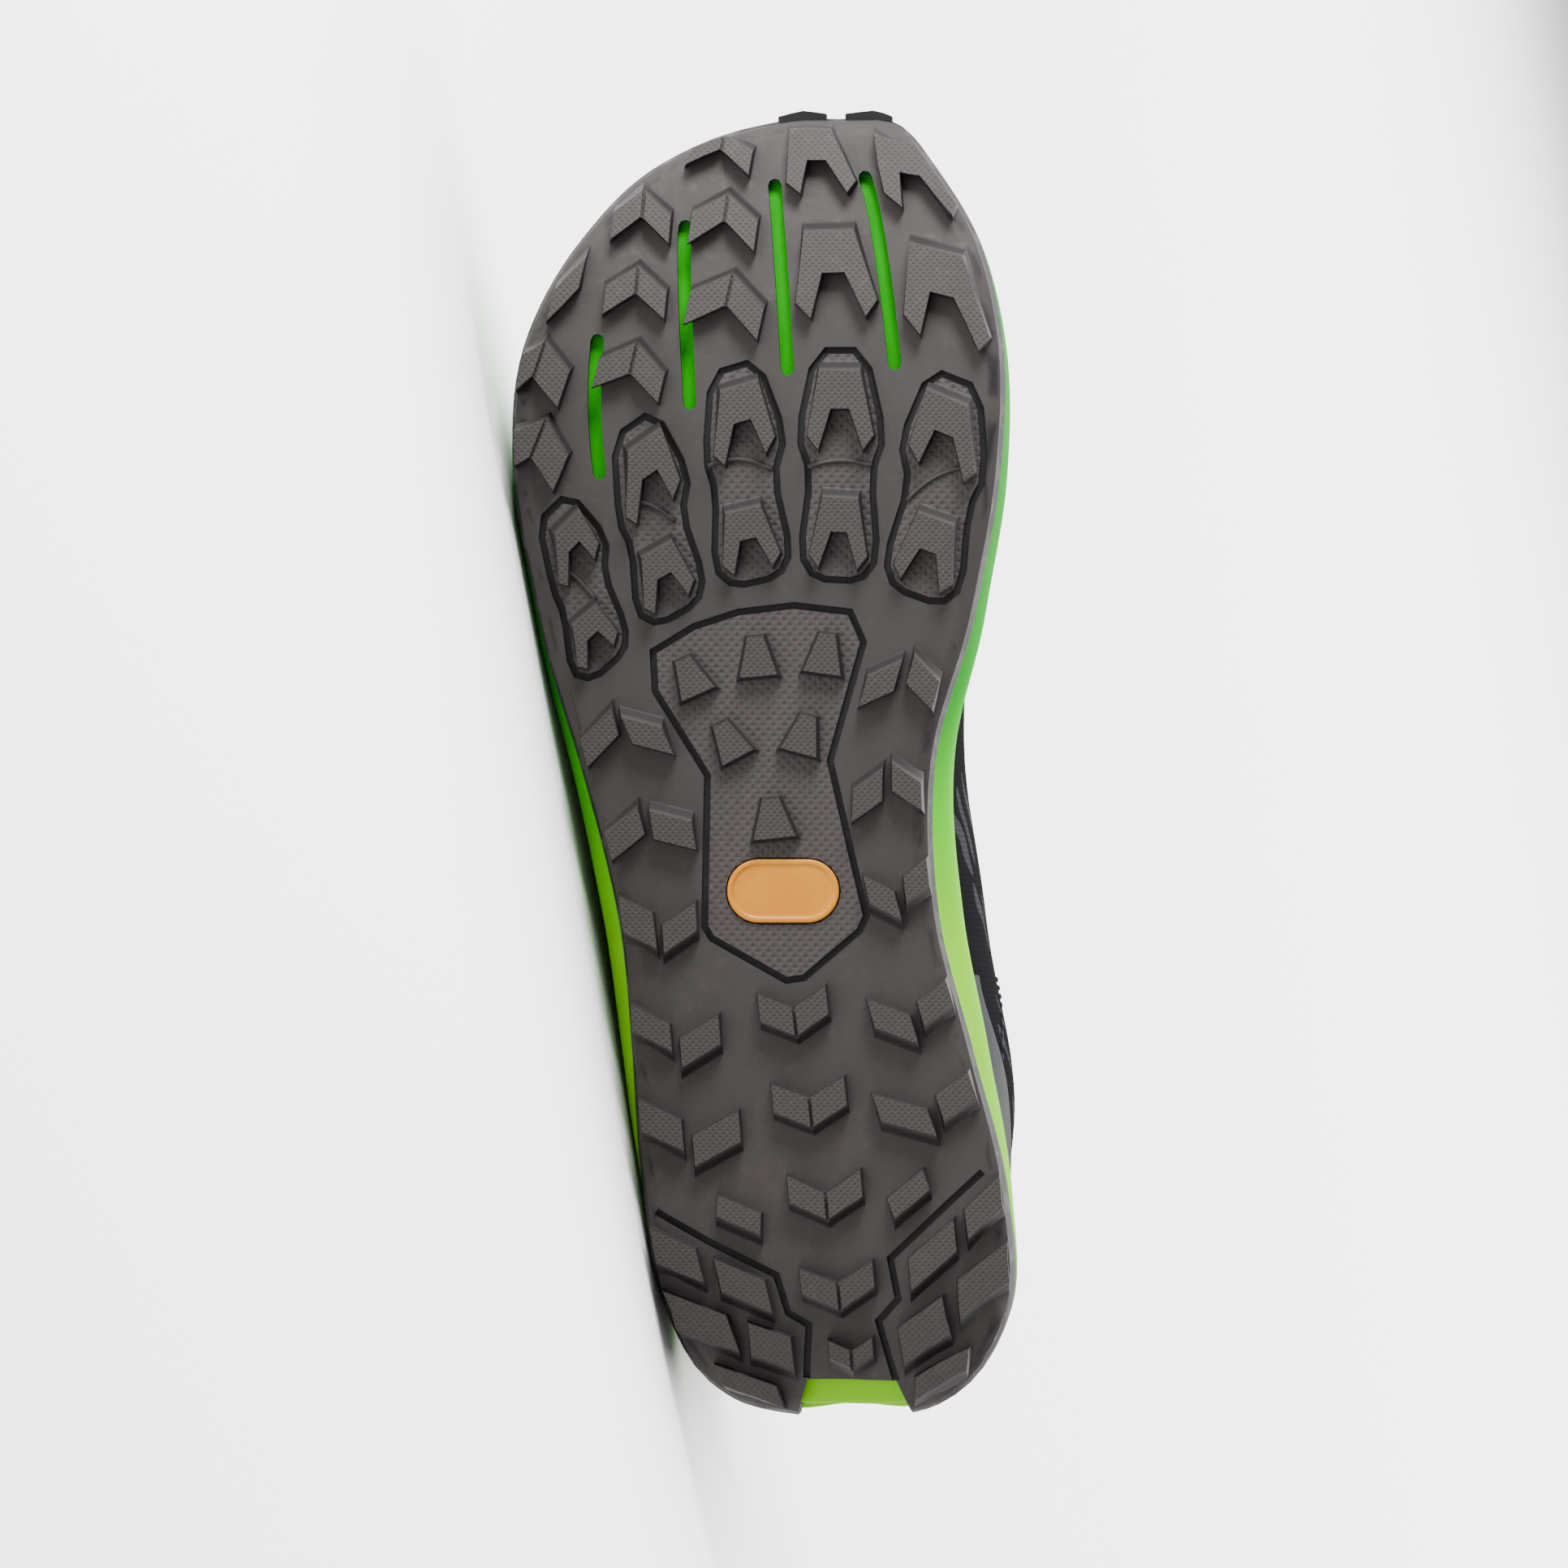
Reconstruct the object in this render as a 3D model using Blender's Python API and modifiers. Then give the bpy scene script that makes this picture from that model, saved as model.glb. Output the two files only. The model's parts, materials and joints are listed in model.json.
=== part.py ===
"""Right trail running shoe, modelled standing and then laid on its lateral side.

The shoe is modelled in its own axes: +X toward the toe from the back of the heel, +Y toward the
medial side, +Z up from the ground that its lugs stand on. The last step turns it onto its side.
"""

import math

import bmesh
import bpy
from mathutils import Matrix, Vector

# Driving sizes, in metres
SOLE_LENGTH = 0.300
BALL_WIDTH = 0.113
HEEL_WIDTH = 0.084
LUG_HEIGHT = 0.0040
OUTSOLE_THICKNESS = 0.0026
EDGE_ROLL = 0.0045
TOE_SPRING = 0.022
HEEL_RISE = 0.008
FOOTBED_HEIGHT = 0.029
FOOTBED_SPRING = 0.011
RIM_HEIGHT = 0.008
RIM_LEAST = 0.0022
RIM_ROUNDING = 0.0008
INSTEP_HEIGHT = 0.078
UPPER_WALL = 0.0022
COLLAR_PAD = 0.0060
LASTING_MARGIN = 0.009
OVERLAY_THICKNESS = 0.0012
OVERLAY_ABOVE_RIM = 0.0012
INSOLE_THICKNESS = 0.0035
INSOLE_BEVEL = 0.0015
TONGUE_THICKNESS = 0.0040
TONGUE_ABOVE_THROAT = 0.022
TONGUE_NARROWING = 0.34
TONGUE_EDGE_REACH = 0.001
TONGUE_WING_REACH = 0.013
LACE_DIAMETER = 0.0034
EYELET_HOLE = 0.0044
GROOVE_WIDTH = 0.0016
GROOVE_DEPTH = 0.0012
CUT_CLEARANCE = 0.001
SLOT_WIDTH = 0.0031
SLOT_FLOOR = 0.0022
INLAY_LENGTH = 0.0147
INLAY_WIDTH = 0.0258
INLAY_THICKNESS = 0.0014
PULL_TAB_WIDTH = 0.012
PULL_TAB_HEIGHT = 0.015
GAP = 0.0003

# The ground that the lugs follow is flat between these shares of the sole's length
FLAT_FROM = 0.14
FLAT_TO = 0.70
# The local width goes from the heel's to the ball's over this share of the length, from this one on
WIDTH_CHANGES_FROM = 0.25
WIDTH_CHANGES_OVER = 0.35
# Spacing of the columns of points round the sole and the upper
COLUMN_STEP = 0.0135
# Sections between which the rows of points run across the sole; ahead and behind they fan out
HEEL_FAN_SECTION = 4.5
TOE_FAN_SECTION = 11.4
# The collar's padding ends at this section and thins out over so many sections before it
PADDED_TO_SECTION = 6.7
PADDING_FADES_OVER = 1.3
# The foam's side is widest at this share of its height. From there it leans in toward the rim by
# this share of the room that the least rim leaves.
SIDE_WIDEST = 0.28
RIM_LEAN = 0.5

# Sole, a row for each section from heel to toe. Places are hundredths of the length (along) and of
# the local width (lateral, medial); flare of the midsole beyond the outsole and wrap of the
# outsole up the side are thousandths of the ball width.
SOLE_COLUMNS = ("along", "lateral", "medial", "flare_lateral", "flare_medial", "wrap_lateral", "wrap_medial")
SOLE_SECTIONS = (
    (0.1, 13.0, 13.0, 0, 0, 106, 106),
    (0.35, -5.0, 31.5, 0, 0, 112, 112),
    (1.0, -14.5, 38.6, 0, 0, 115, 115),
    (2.7, -24.0, 47.2, 0, 0, 112, 115),
    (8.3, -35.8, 58.1, 0, 0, 90, 110),
    (16.7, -41.5, 57.7, 4, 5, 12, 60),
    (27.7, -44.4, 48.2, 25, 28, 6, 6),
    (38.3, -43.7, 35.0, 36, 46, 6, 6),
    (50.0, -46.3, 29.7, 24, 33, 6, 6),
    (61.7, -52.6, 36.5, 12, 17, 6, 6),
    (71.7, -57.3, 41.2, 7, 12, 6, 6),
    (81.7, -55.5, 41.8, 3, 4, 6, 6),
    (90.0, -44.1, 36.6, 0, 0, 10, 10),
    (96.0, -27.8, 27.0, 0, 0, 36, 36),
    (98.3, -14.6, 22.2, 0, 0, 60, 60),
    (99.2, -4.4, 18.6, 0, 0, 68, 68),
    (99.4, 7.5, 7.5, 0, 0, 70, 70),
)

# Upper, a row for each section of the sole. Each column of the wall is a curve from the feather
# edge on the footbed to the opening's edge. Insets, bulges, openings and reaches are hundredths of
# the local width, open_along is a hundredth of the length, and heights are hundredths of the
# instep height above the footbed. band is the top edge of the toe cap and of the heel counter.
UPPER_COLUMNS = (
    "inset_lateral", "inset_medial", "bulge_lateral", "bulge_medial", "rise",
    "open_along", "open_lateral", "open_medial", "open_height",
    "reach_lateral", "reach_medial", "drop", "band",
)
UPPER_SECTIONS = (
    (9.5, 9.5, 4.0, 4.0, 33, 3.5, 13.0, 13.0, 95, -2, -2, -33, 52),
    (9.5, 9.5, 4.0, 4.0, 33, 3.8, 5.0, 21.5, 95, -2, -2, -33, 52),
    (9.5, 9.5, 4.0, 4.0, 33, 4.3, -2.5, 28.5, 94, -2, -2, -33, 51),
    (9.0, 9.0, 4.0, 4.0, 33, 5.6, -10.0, 37.0, 92, -1, -1, -32, 48),
    (8.5, 8.5, 4.0, 4.5, 31, 9.2, -20.5, 46.0, 86, 2, 2, -28, 42),
    (8.5, 8.5, 7.0, 8.0, 29, 16.7, -30.0, 50.0, 74, 7, 7, -18, 34),
    (9.5, 9.5, 15.0, 19.0, 32, 25.7, -37.0, 48.0, 69, 13, 15, -9, 26),
    (5.5, 5.5, 14.0, 24.0, 36, 35.3, -20.5, 24.5, 100, 28, 24, -15, 22),
    (5.5, 3.0, 10.5, 14.0, 33, 46.7, -16.3, 17.3, 90, 26, 18.5, -10, 20),
    (6.2, 5.3, 7.0, 8.0, 31, 57.5, -14.6, 11.1, 74, 25, 17, -5, 20),
    (6.2, 5.8, 6.0, 6.0, 31, 62.3, -12.4, 6.2, 63, 27, 19.5, -1, 22),
    (6.2, 6.2, 5.0, 4.5, 32, 64.0, -9.7, 3.1, 60, 34, 32, 0, 26),
    (6.6, 6.6, 4.0, 4.0, 33, 64.7, -7.7, 0.9, 59, 40, 38, 0, 32),
    (6.6, 6.6, 3.0, 3.0, 34, 65.0, -6.0, -0.9, 58, 46, 45, 0, 37),
    (6.6, 6.6, 2.6, 2.6, 34.5, 65.2, -5.0, -2.1, 58, 48, 48, 0, 39),
    (6.6, 6.6, 2.6, 2.6, 34.5, 65.3, -4.3, -2.8, 58, 48.5, 48.5, -1, 40),
    (6.6, 6.6, 2.6, 2.6, 34.5, 65.35, -3.5, -3.5, 58, 49, 49, -1, 40),
)

# Tread. Places and sizes are hundredths of the sole's length (along) and of the local width
# (across); turns are degrees. Chevrons: apex, turn, reach of an arm across, fall of its tip, depth
# of the arm at the tip and at the apex. A chevron turned half round points at the heel.
CHEVRONS = (
    (98.0, -15.1, 9, 6.3, 1.1, 1.7, 1.2),
    (93.6, -31.0, 4, 5.8, 1.8, 2.1, 2.0),
    (93.3, -14.0, 7, 6.7, 1.8, 2.3, 2.0),
    (87.7, -31.9, 5, 6.2, 1.8, 2.0, 2.0),
    (87.1, -12.7, 12, 7.6, 2.0, 2.5, 2.4),
    (82.0, -50.4, 18, 6.5, 1.7, 2.8, 2.8),
    (76.0, -50.2, 22, 6.8, 2.0, 2.8, 3.0),
    (81.8, -31.9, 13, 6.8, 1.9, 2.1, 2.3),
    (29.2, 0.6, 173, 9.1, 1.4, 2.1, 2.1),
    (22.3, 4.8, 174, 9.9, 1.4, 2.1, 2.2),
    (15.3, 9.0, 175, 9.9, 1.5, 2.0, 1.9),
    (8.4, 12.4, 174, 9.9, 1.5, 1.9, 2.0),
    (3.9, 15.5, 176, 5.9, 0.9, 1.3, 1.3),
)
# Claws: middle of the crown, turn, lean, half width, length
TOE_CLAWS = (
    (98.3, 2.1, -1, 13, 7.0, 4.9),
    (97.5, 19.4, 10, 35, 7.5, 5.0),
    (90.4, 6.5, -2, 5, 8.2, 6.6),
    (88.9, 28.1, 15, 24, 8.9, 6.5),
)
# Pods, two claws each, the front one first
PODS = (
    ((68.2, -45.8, -45, -30, 5.6, 3.4), (61.1, -42.2, -41, -21, 5.2, 3.1)),
    ((74.4, -30.2, -35, -27, 6.6, 4.8), (66.1, -27.7, -29, -14, 5.7, 4.1)),
    ((78.5, -11.2, -17, -12, 6.4, 5.4), (69.1, -10.4, -13, -3, 5.9, 4.6)),
    ((79.7, 9.0, 0, 1, 6.7, 6.0), (70.0, 9.2, 3, 1, 5.8, 5.3)),
    ((77.6, 30.6, 23, 19, 7.2, 5.3), (68.4, 28.4, 20, 7, 6.2, 5.1)),
)
POD_SIDE = 0.0023
POD_FRONT = 0.0048
POD_BACK = 0.0026
# Wedges on the arch plate: middle of the front edge, turn, half width in front and behind, length
WEDGES = (
    (57.8, -22.7, -24, 1.6, 3.6, 2.9),
    (59.5, -8.0, -5, 1.6, 3.8, 3.0),
    (59.7, 6.6, 8, 1.6, 3.8, 3.0),
    (53.5, 2.8, 15, 1.6, 3.8, 2.9),
    (52.9, -15.5, -28, 1.6, 3.6, 2.9),
    (47.2, -5.3, -6, 1.8, 4.6, 3.0),
)
WEDGE_HEIGHT_SHARE = 0.7
# Bars: middle, run across, rise of the medial end toward the toe, depth, lean of the depth, and
# the side of the ramp, 1 toward the toe and -1 toward the heel
BARS = (
    (86.0, -46.2, 6.3, 2.5, 2.4, -1.4, 1),
    (51.8, -40.8, 6.4, 2.4, 1.9, 1.4, 1),
    (52.0, -30.8, 8.4, -0.8, 2.0, 2.4, 1),
    (44.5, -38.4, 7.4, 2.0, 2.0, 1.6, 1),
    (44.8, -27.4, 9.4, -0.8, 2.1, 1.0, 1),
    (37.8, -38.6, 8.2, -1.2, 2.7, 1.0, -1),
    (37.4, -28.4, 8.2, 1.7, 2.1, 0.4, -1),
    (29.8, -38.3, 10.6, -1.5, 2.0, 0.7, -1),
    (28.8, -25.3, 10.3, 1.8, 2.2, 0.6, -1),
    (22.4, -36.2, 11.6, -1.5, 2.3, 0.8, -1),
    (21.4, -21.1, 12.4, 1.9, 2.3, 0.7, -1),
    (15.6, -15.1, 11.8, -1.4, 1.6, -0.2, -1),
    (55.9, 17.5, 7.0, 1.2, 2.2, -1.7, 1),
    (56.0, 26.2, 5.2, -2.0, 2.1, -1.6, 1),
    (47.4, 15.9, 6.5, 1.6, 2.3, -0.2, 1),
    (48.1, 24.4, 6.4, -1.5, 2.1, 0.1, 1),
    (39.7, 21.0, 7.4, -1.2, 2.1, 1.5, -1),
    (41.0, 28.8, 5.4, 1.3, 2.0, 0.8, -1),
    (30.3, 26.0, 11.3, -1.2, 2.1, 2.1, -1),
    (31.7, 36.9, 7.5, 1.7, 1.9, 1.9, -1),
    (23.2, 29.8, 14.8, -1.1, 2.0, 2.5, -1),
    (24.6, 43.9, 8.8, 1.8, 2.0, 2.4, -1),
    (17.2, 30.9, 9.4, 2.2, 1.5, 2.0, -1),
)
# Heel strike lugs, bars of the same columns
HEEL_BARS = (
    (12.5, -32.2, 13.0, -1.5, 2.5, 2.4, -1),
    (10.2, -14.0, 13.6, -1.6, 2.4, 2.0, -1),
    (7.5, -25.2, 16.6, -1.8, 2.7, 3.6, -1),
    (5.6, -6.6, 11.4, -1.1, 2.4, 0.8, -1),
    (2.6, -12.4, 15.6, -1.7, 1.6, 1.6, -1),
    (16.2, 51.2, 9.2, 2.5, 2.3, 1.1, -1),
    (12.6, 37.4, 12.2, 3.0, 2.4, 0.8, -1),
    (10.7, 51.0, 13.4, 2.9, 2.9, 0.1, -1),
    (6.8, 34.8, 11.9, 2.4, 2.8, 1.6, -1),
    (3.6, 39.2, 13.4, 2.4, 1.7, 0.0, -1),
)
LUG_FROM_EDGE = 0.0010
LUG_ROOT = 0.36
LUG_DRAFT = 0.0005
LUG_RAMP = 0.0026
WEDGE_DRAFT = 0.0012

# Grooves, places in hundredths of length and local width
ARCH_PLATE = (
    (58.4, -28.8), (60.3, -20.5), (61.4, -11.5), (61.9, -0.2), (61.4, 11.1), (59.1, 13.8),
    (50.1, 7.4), (42.5, 13.4), (38.3, 17.4), (37.2, 16.0), (33.6, 2.3), (33.4, -2.3),
    (36.6, -20.9), (37.5, -22.4), (49.0, -18.9), (55.4, -28.7),
)
HEEL_GROOVE_LATERAL = (
    (15.8, -37.8), (13.6, -23.9), (11.0, -5.2), (8.1, -2.0), (7.2, 3.6), (3.2, 2.7),
)
HEEL_GROOVE_MEDIAL = (
    (18.9, 50.5), (15.3, 37.1), (12.3, 25.8), (9.2, 27.9), (7.5, 22.5), (3.0, 26.9),
)
HEEL_NOTCH = ((3.1, 2.7), (1.3, 0.7), (-2.0, -1.4), (-2.0, 33.5), (0.4, 31.2), (3.0, 26.9))
NOTCH_TOP = 0.06
FLEX_SLOTS = (
    ((82.1, -40.2), (77.2, -40.7), (72.0, -39.6)),
    ((90.9, -22.8), (87.1, -22.8), (77.3, -21.4)),
    ((94.1, -4.8), (87.1, -3.1), (79.9, -1.7)),
    ((94.7, 13.5), (89.5, 16.7), (80.3, 20.0)),
)
TOE_BUMPER_LUGS = ((-5.1, 5.0), (9.1, 19.7))
TOE_BUMPER_HEIGHT = 0.0055
TOE_BUMPER_PROUD = 0.0018
INLAY_CENTRE = (40.2, -2.9)

# Throat: shares of the opening's columns that carry the eyelets
EYELET_COUNT = 6
EYELET_FIRST_ALONG = 0.372
EYELET_LAST_ALONG = 0.590
EYELET_FROM_EDGE = 0.0065
EYESTAY_WIDTH = 0.016
THROAT_EDGE_REACH = 0.0005
THROAT_CROWN = 0.10
# The tongue starts this share of the length below the top eyelets and ends past the lowest ones
TONGUE_BEHIND = 0.008
TONGUE_AHEAD = 0.02
# A crossing's upper ends stop short of the next eyelets, as a share of the length and from the edge
LACE_SHORT_OF_EYELET = 0.014
LACE_END_REACH = 0.0025
LACE_STEPS = 6


def blend(first, second, share):
    return first + (second - first) * share


def ease(share):
    share = min(1.0, max(0.0, share))
    return share * share * (3.0 - 2.0 * share)


def width_at(along):
    """Local width that the tables' across places are shares of, at a share of the length."""
    return blend(HEEL_WIDTH, BALL_WIDTH, ease((along - WIDTH_CHANGES_FROM) / WIDTH_CHANGES_OVER))


def plan(along, across):
    """Point in plan of a table's place, in metres."""
    return Vector((along / 100 * SOLE_LENGTH, across / 100 * width_at(along / 100)))


def ground(x):
    """Height of the surface that the lugs' tops follow."""
    share = x / SOLE_LENGTH
    toe = max(0.0, (share - FLAT_TO) / (1 - FLAT_TO))
    heel = max(0.0, (FLAT_FROM - share) / FLAT_FROM)
    return TOE_SPRING * toe ** 2.2 + HEEL_RISE * heel ** 1.8


def footbed(x):
    """Height of the midsole's upper face under the foot."""
    toe = max(0.0, (x / SOLE_LENGTH - FLAT_TO) / (1 - FLAT_TO))
    return FOOTBED_HEIGHT + FOOTBED_SPRING * toe ** 2


class Loop:
    """Smooth closed curves through the values of the sections, medial side out and lateral back."""

    def __init__(self):
        self.half = len(SOLE_SECTIONS) - 1
        corners = []
        for along, lateral, medial, *_ in SOLE_SECTIONS:
            half_width = (medial - lateral) / 200 * width_at(along / 100)
            corners.append(Vector((along / 100 * SOLE_LENGTH, half_width)))
        self.steps = [(b - a).length for a, b in zip(corners, corners[1:])]

    def step(self, knot):
        knot %= 2 * self.half
        return self.steps[knot] if knot < self.half else self.steps[2 * self.half - 1 - knot]

    def value(self, lateral, medial, place):
        def knot_value(knot):
            knot %= 2 * self.half
            return medial[knot] if knot <= self.half else lateral[2 * self.half - knot]

        def slope(knot):
            before = self.step(knot - 1)
            after = self.step(knot)
            fall_before = (knot_value(knot) - knot_value(knot - 1)) / before
            fall_after = (knot_value(knot + 1) - knot_value(knot)) / after
            return (fall_before * after + fall_after * before) / (before + after)

        knot = math.floor(place)
        f = place - knot
        reach = self.step(knot)
        return (
            (2 * f**3 - 3 * f**2 + 1) * knot_value(knot)
            + (f**3 - 2 * f**2 + f) * reach * slope(knot)
            + (3 * f**2 - 2 * f**3) * knot_value(knot + 1)
            + (f**3 - f**2) * reach * slope(knot + 1)
        )

    def places(self):
        found = []
        for knot in range(2 * self.half):
            count = max(1, round(self.step(knot) / COLUMN_STEP))
            found += [knot + part / count for part in range(count)]
        return found


LOOP = Loop()


def column_of(table, names, name):
    return [row[names.index(name)] for row in table]


def sole_value(name, place):
    if name + "_lateral" in SOLE_COLUMNS:
        lateral = column_of(SOLE_SECTIONS, SOLE_COLUMNS, name + "_lateral")
        medial = column_of(SOLE_SECTIONS, SOLE_COLUMNS, name + "_medial")
    else:
        lateral = medial = column_of(SOLE_SECTIONS, SOLE_COLUMNS, name)
    return LOOP.value(lateral, medial, place)


def upper_value(name, place):
    if name + "_lateral" in UPPER_COLUMNS:
        lateral = column_of(UPPER_SECTIONS, UPPER_COLUMNS, name + "_lateral")
        medial = column_of(UPPER_SECTIONS, UPPER_COLUMNS, name + "_medial")
    else:
        lateral = medial = column_of(UPPER_SECTIONS, UPPER_COLUMNS, name)
    return LOOP.value(lateral, medial, place)


def outline_point(place):
    along = sole_value("along", place)
    lateral = column_of(SOLE_SECTIONS, SOLE_COLUMNS, "lateral")
    medial = column_of(SOLE_SECTIONS, SOLE_COLUMNS, "medial")
    return plan(along, LOOP.value(lateral, medial, place))


class Column:
    """One column of points: its place round the sole, outline point, spine point and directions."""

    def __init__(self, place):
        self.place = place
        self.edge = outline_point(place)
        section = place if place <= LOOP.half else 2 * LOOP.half - place
        section = min(TOE_FAN_SECTION, max(HEEL_FAN_SECTION, section))
        sides = outline_point(section), outline_point(2 * LOOP.half - section)
        self.spine = (sides[0] + sides[1]) / 2
        self.outward = (self.edge - self.spine).normalized()
        self.flare = sole_value("flare", place) / 1000 * BALL_WIDTH
        self.wrap = sole_value("wrap", place) / 1000 * BALL_WIDTH
        width = width_at(sole_value("along", place) / 100)
        self.inset = upper_value("inset", place) / 100 * width
        self.feather = self.at(self.inset)
        open_along = upper_value("open_along", place)
        lateral = column_of(UPPER_SECTIONS, UPPER_COLUMNS, "open_lateral")
        medial = column_of(UPPER_SECTIONS, UPPER_COLUMNS, "open_medial")
        opening = plan(open_along, LOOP.value(lateral, medial, place))
        height = INSTEP_HEIGHT / 100
        low = self.feather.to_3d()
        low.z = footbed(low.x) + GAP
        high = opening.to_3d()
        high.z = footbed(high.x) + upper_value("open_height", place) * height
        out = self.outward.to_3d()
        side = (low - high)
        side.z = 0
        side = (side + out * 0.02).normalized()
        bulge = upper_value("bulge", place) / 100 * width
        reach = upper_value("reach", place) / 100 * width
        up = Vector((0, 0, 1))
        self.curve = (
            low,
            low + out * bulge + up * upper_value("rise", place) * height,
            high + side * reach + up * upper_value("drop", place) * height,
            high,
        )
        self.band = upper_value("band", place) * height
        beside_rim = self.wall(self.share_at_height(RIM_HEIGHT)).xy
        room = (self.at(-self.flare) - beside_rim).dot(self.outward)
        self.lean = RIM_LEAN * max(0.0, room - RIM_LEAST)

    def at(self, inward):
        return self.edge - self.outward * inward

    def toward_spine(self, inward, share):
        return self.at(inward).lerp(self.spine, share)

    def wall(self, v):
        a, b, c, d = self.curve
        w = 1 - v
        return a * w**3 + b * 3 * w * w * v + c * 3 * w * v * v + d * v**3

    def share_at_height(self, height):
        """Share of the wall's curve at a height above the feather edge."""
        low, high = 0.0, 1.0
        target = self.curve[0].z + height
        for _ in range(30):
            middle = (low + high) / 2
            if self.wall(middle).z < target:
                low = middle
            else:
                high = middle
        return low

    def share_from_edge(self, distance):
        """Share of the wall's curve at a distance down from the opening's edge."""
        steps = 40
        walked = 0.0
        last = self.wall(1.0)
        for index in range(1, steps + 1):
            point = self.wall(1 - index / steps)
            walked += (point - last).length
            if walked >= distance:
                return 1 - index / steps
            last = point
        return 0.0


COLUMNS = [Column(place) for place in LOOP.places()]
OUTLINE = [column.edge for column in COLUMNS]


def nearest_edge(point):
    """Signed distance inside the sole's outline, nearest outline point and inward direction."""
    best = None
    for start, end in zip(OUTLINE, OUTLINE[1:] + OUTLINE[:1]):
        run = end - start
        share = min(1.0, max(0.0, (point - start).dot(run) / run.length_squared))
        foot = start + run * share
        distance = (point - foot).length
        if best is None or distance < best[0]:
            inward = Vector((run.y, -run.x)).normalized()
            best = (distance, foot, inward)
    distance, foot, inward = best
    side = 1 if (point - foot).dot(inward) >= 0 else -1
    return distance * side, foot, inward


def kept_inside(point, margin):
    distance, foot, inward = nearest_edge(point)
    return point if distance >= margin else foot + inward * margin


def roll(point):
    """Rise of the outsole's rolled edge at a point in plan."""
    distance = nearest_edge(point)[0]
    distance = min(EDGE_ROLL, max(0.0, distance))
    return EDGE_ROLL - math.sqrt(EDGE_ROLL**2 - (EDGE_ROLL - distance) ** 2)


def outsole_face(point):
    """Height of the outsole's lower face between its lugs."""
    return ground(point.x) + LUG_HEIGHT + roll(point)


# Objects

def clear_scene():
    for item in list(bpy.data.objects):
        bpy.data.objects.remove(item)


def collection(name):
    found = bpy.data.collections.get(name)
    if found is None:
        found = bpy.data.collections.new(name)
        bpy.context.scene.collection.children.link(found)
    return found


def material(name, colour, roughness):
    made = bpy.data.materials.new(name)
    made.use_nodes = True
    shader = made.node_tree.nodes["Principled BSDF"]
    shader.inputs["Base Color"].default_value = (*colour, 1)
    shader.inputs["Roughness"].default_value = roughness
    shader.inputs["Metallic"].default_value = 0
    return made


def mesh_object(name, points, faces, surface=None, group="trail_running_shoe", closed=True):
    """Object from points and faces, with coinciding points merged and faces turned outward."""
    mesh = bpy.data.meshes.new(name)
    mesh.from_pydata([tuple(point) for point in points], [], faces)
    shape = bmesh.new()
    shape.from_mesh(mesh)
    bmesh.ops.remove_doubles(shape, verts=shape.verts, dist=2e-6)
    bmesh.ops.dissolve_degenerate(shape, dist=1e-6, edges=shape.edges)
    if closed:
        bmesh.ops.recalc_face_normals(shape, faces=shape.faces)
        bmesh.ops.triangulate(shape, faces=shape.faces)
    shape.to_mesh(mesh)
    shape.free()
    made = bpy.data.objects.new(name, mesh)
    collection(group).objects.link(made)
    if surface:
        mesh.materials.append(surface)
    return made


def ring_solid(name, rings, surface):
    """Closed solid through rings of points; its first and last rings run along the spine."""
    count = len(rings[0])
    points = [point for ring in rings for point in ring]
    faces = []
    for level in range(len(rings) - 1):
        for index in range(count):
            after = (index + 1) % count
            faces.append((level * count + index, level * count + after,
                          (level + 1) * count + after, (level + 1) * count + index))
    return mesh_object(name, points, faces, surface)


def prism(low, high):
    """Points and faces of a closed prism between two matching outlines."""
    count = len(low)
    faces = [tuple(range(count)), tuple(range(2 * count - 1, count - 1, -1))]
    for index in range(count):
        after = (index + 1) % count
        faces.append((index, index + count, after + count, after))
    return list(low) + list(high), faces


def joined(pieces):
    """Several closed meshes as one list of points and faces."""
    points, faces = [], []
    for piece_points, piece_faces in pieces:
        start = len(points)
        points += piece_points
        faces += [tuple(index + start for index in face) for face in piece_faces]
    return points, faces


def cutter(name, pieces):
    points, faces = joined(pieces)
    made = mesh_object(name, points, faces, None, "cutters")
    made.hide_render = True
    made.display_type = "WIRE"
    return made


def boolean(target, other, operation):
    change = target.modifiers.new(operation.lower() + "_" + other.name, "BOOLEAN")
    change.operation = operation
    change.object = other
    change.solver = "EXACT"


# Outlines in plan

def is_clockwise(points):
    area = 0.0
    for a, b in zip(points, points[1:] + points[:1]):
        area += a.x * b.y - b.x * a.y
    return area < 0


def offset_outline(points, distance):
    """Closed outline moved outward, with mitred corners."""
    side = 1 if is_clockwise(points) else -1
    moved = []
    count = len(points)
    for index, point in enumerate(points):
        before = (point - points[index - 1]).normalized()
        after = (points[(index + 1) % count] - point).normalized()
        normals = [Vector((-way.y, way.x)) * side for way in (before, after)]
        mitre = normals[0] + normals[1]
        scale = distance / max(0.35, mitre.length_squared / 2)
        moved.append(point + mitre * scale)
    return moved


def local_point(centre, turn, lean, back, across):
    """Point of a lug, measured back toward the heel and across from its middle, in metres."""
    across += back * math.tan(math.radians(lean))
    angle = math.radians(turn)
    return centre + Vector((
        -back * math.cos(angle) - across * math.sin(angle),
        across * math.cos(angle) - back * math.sin(angle),
    ))


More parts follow.
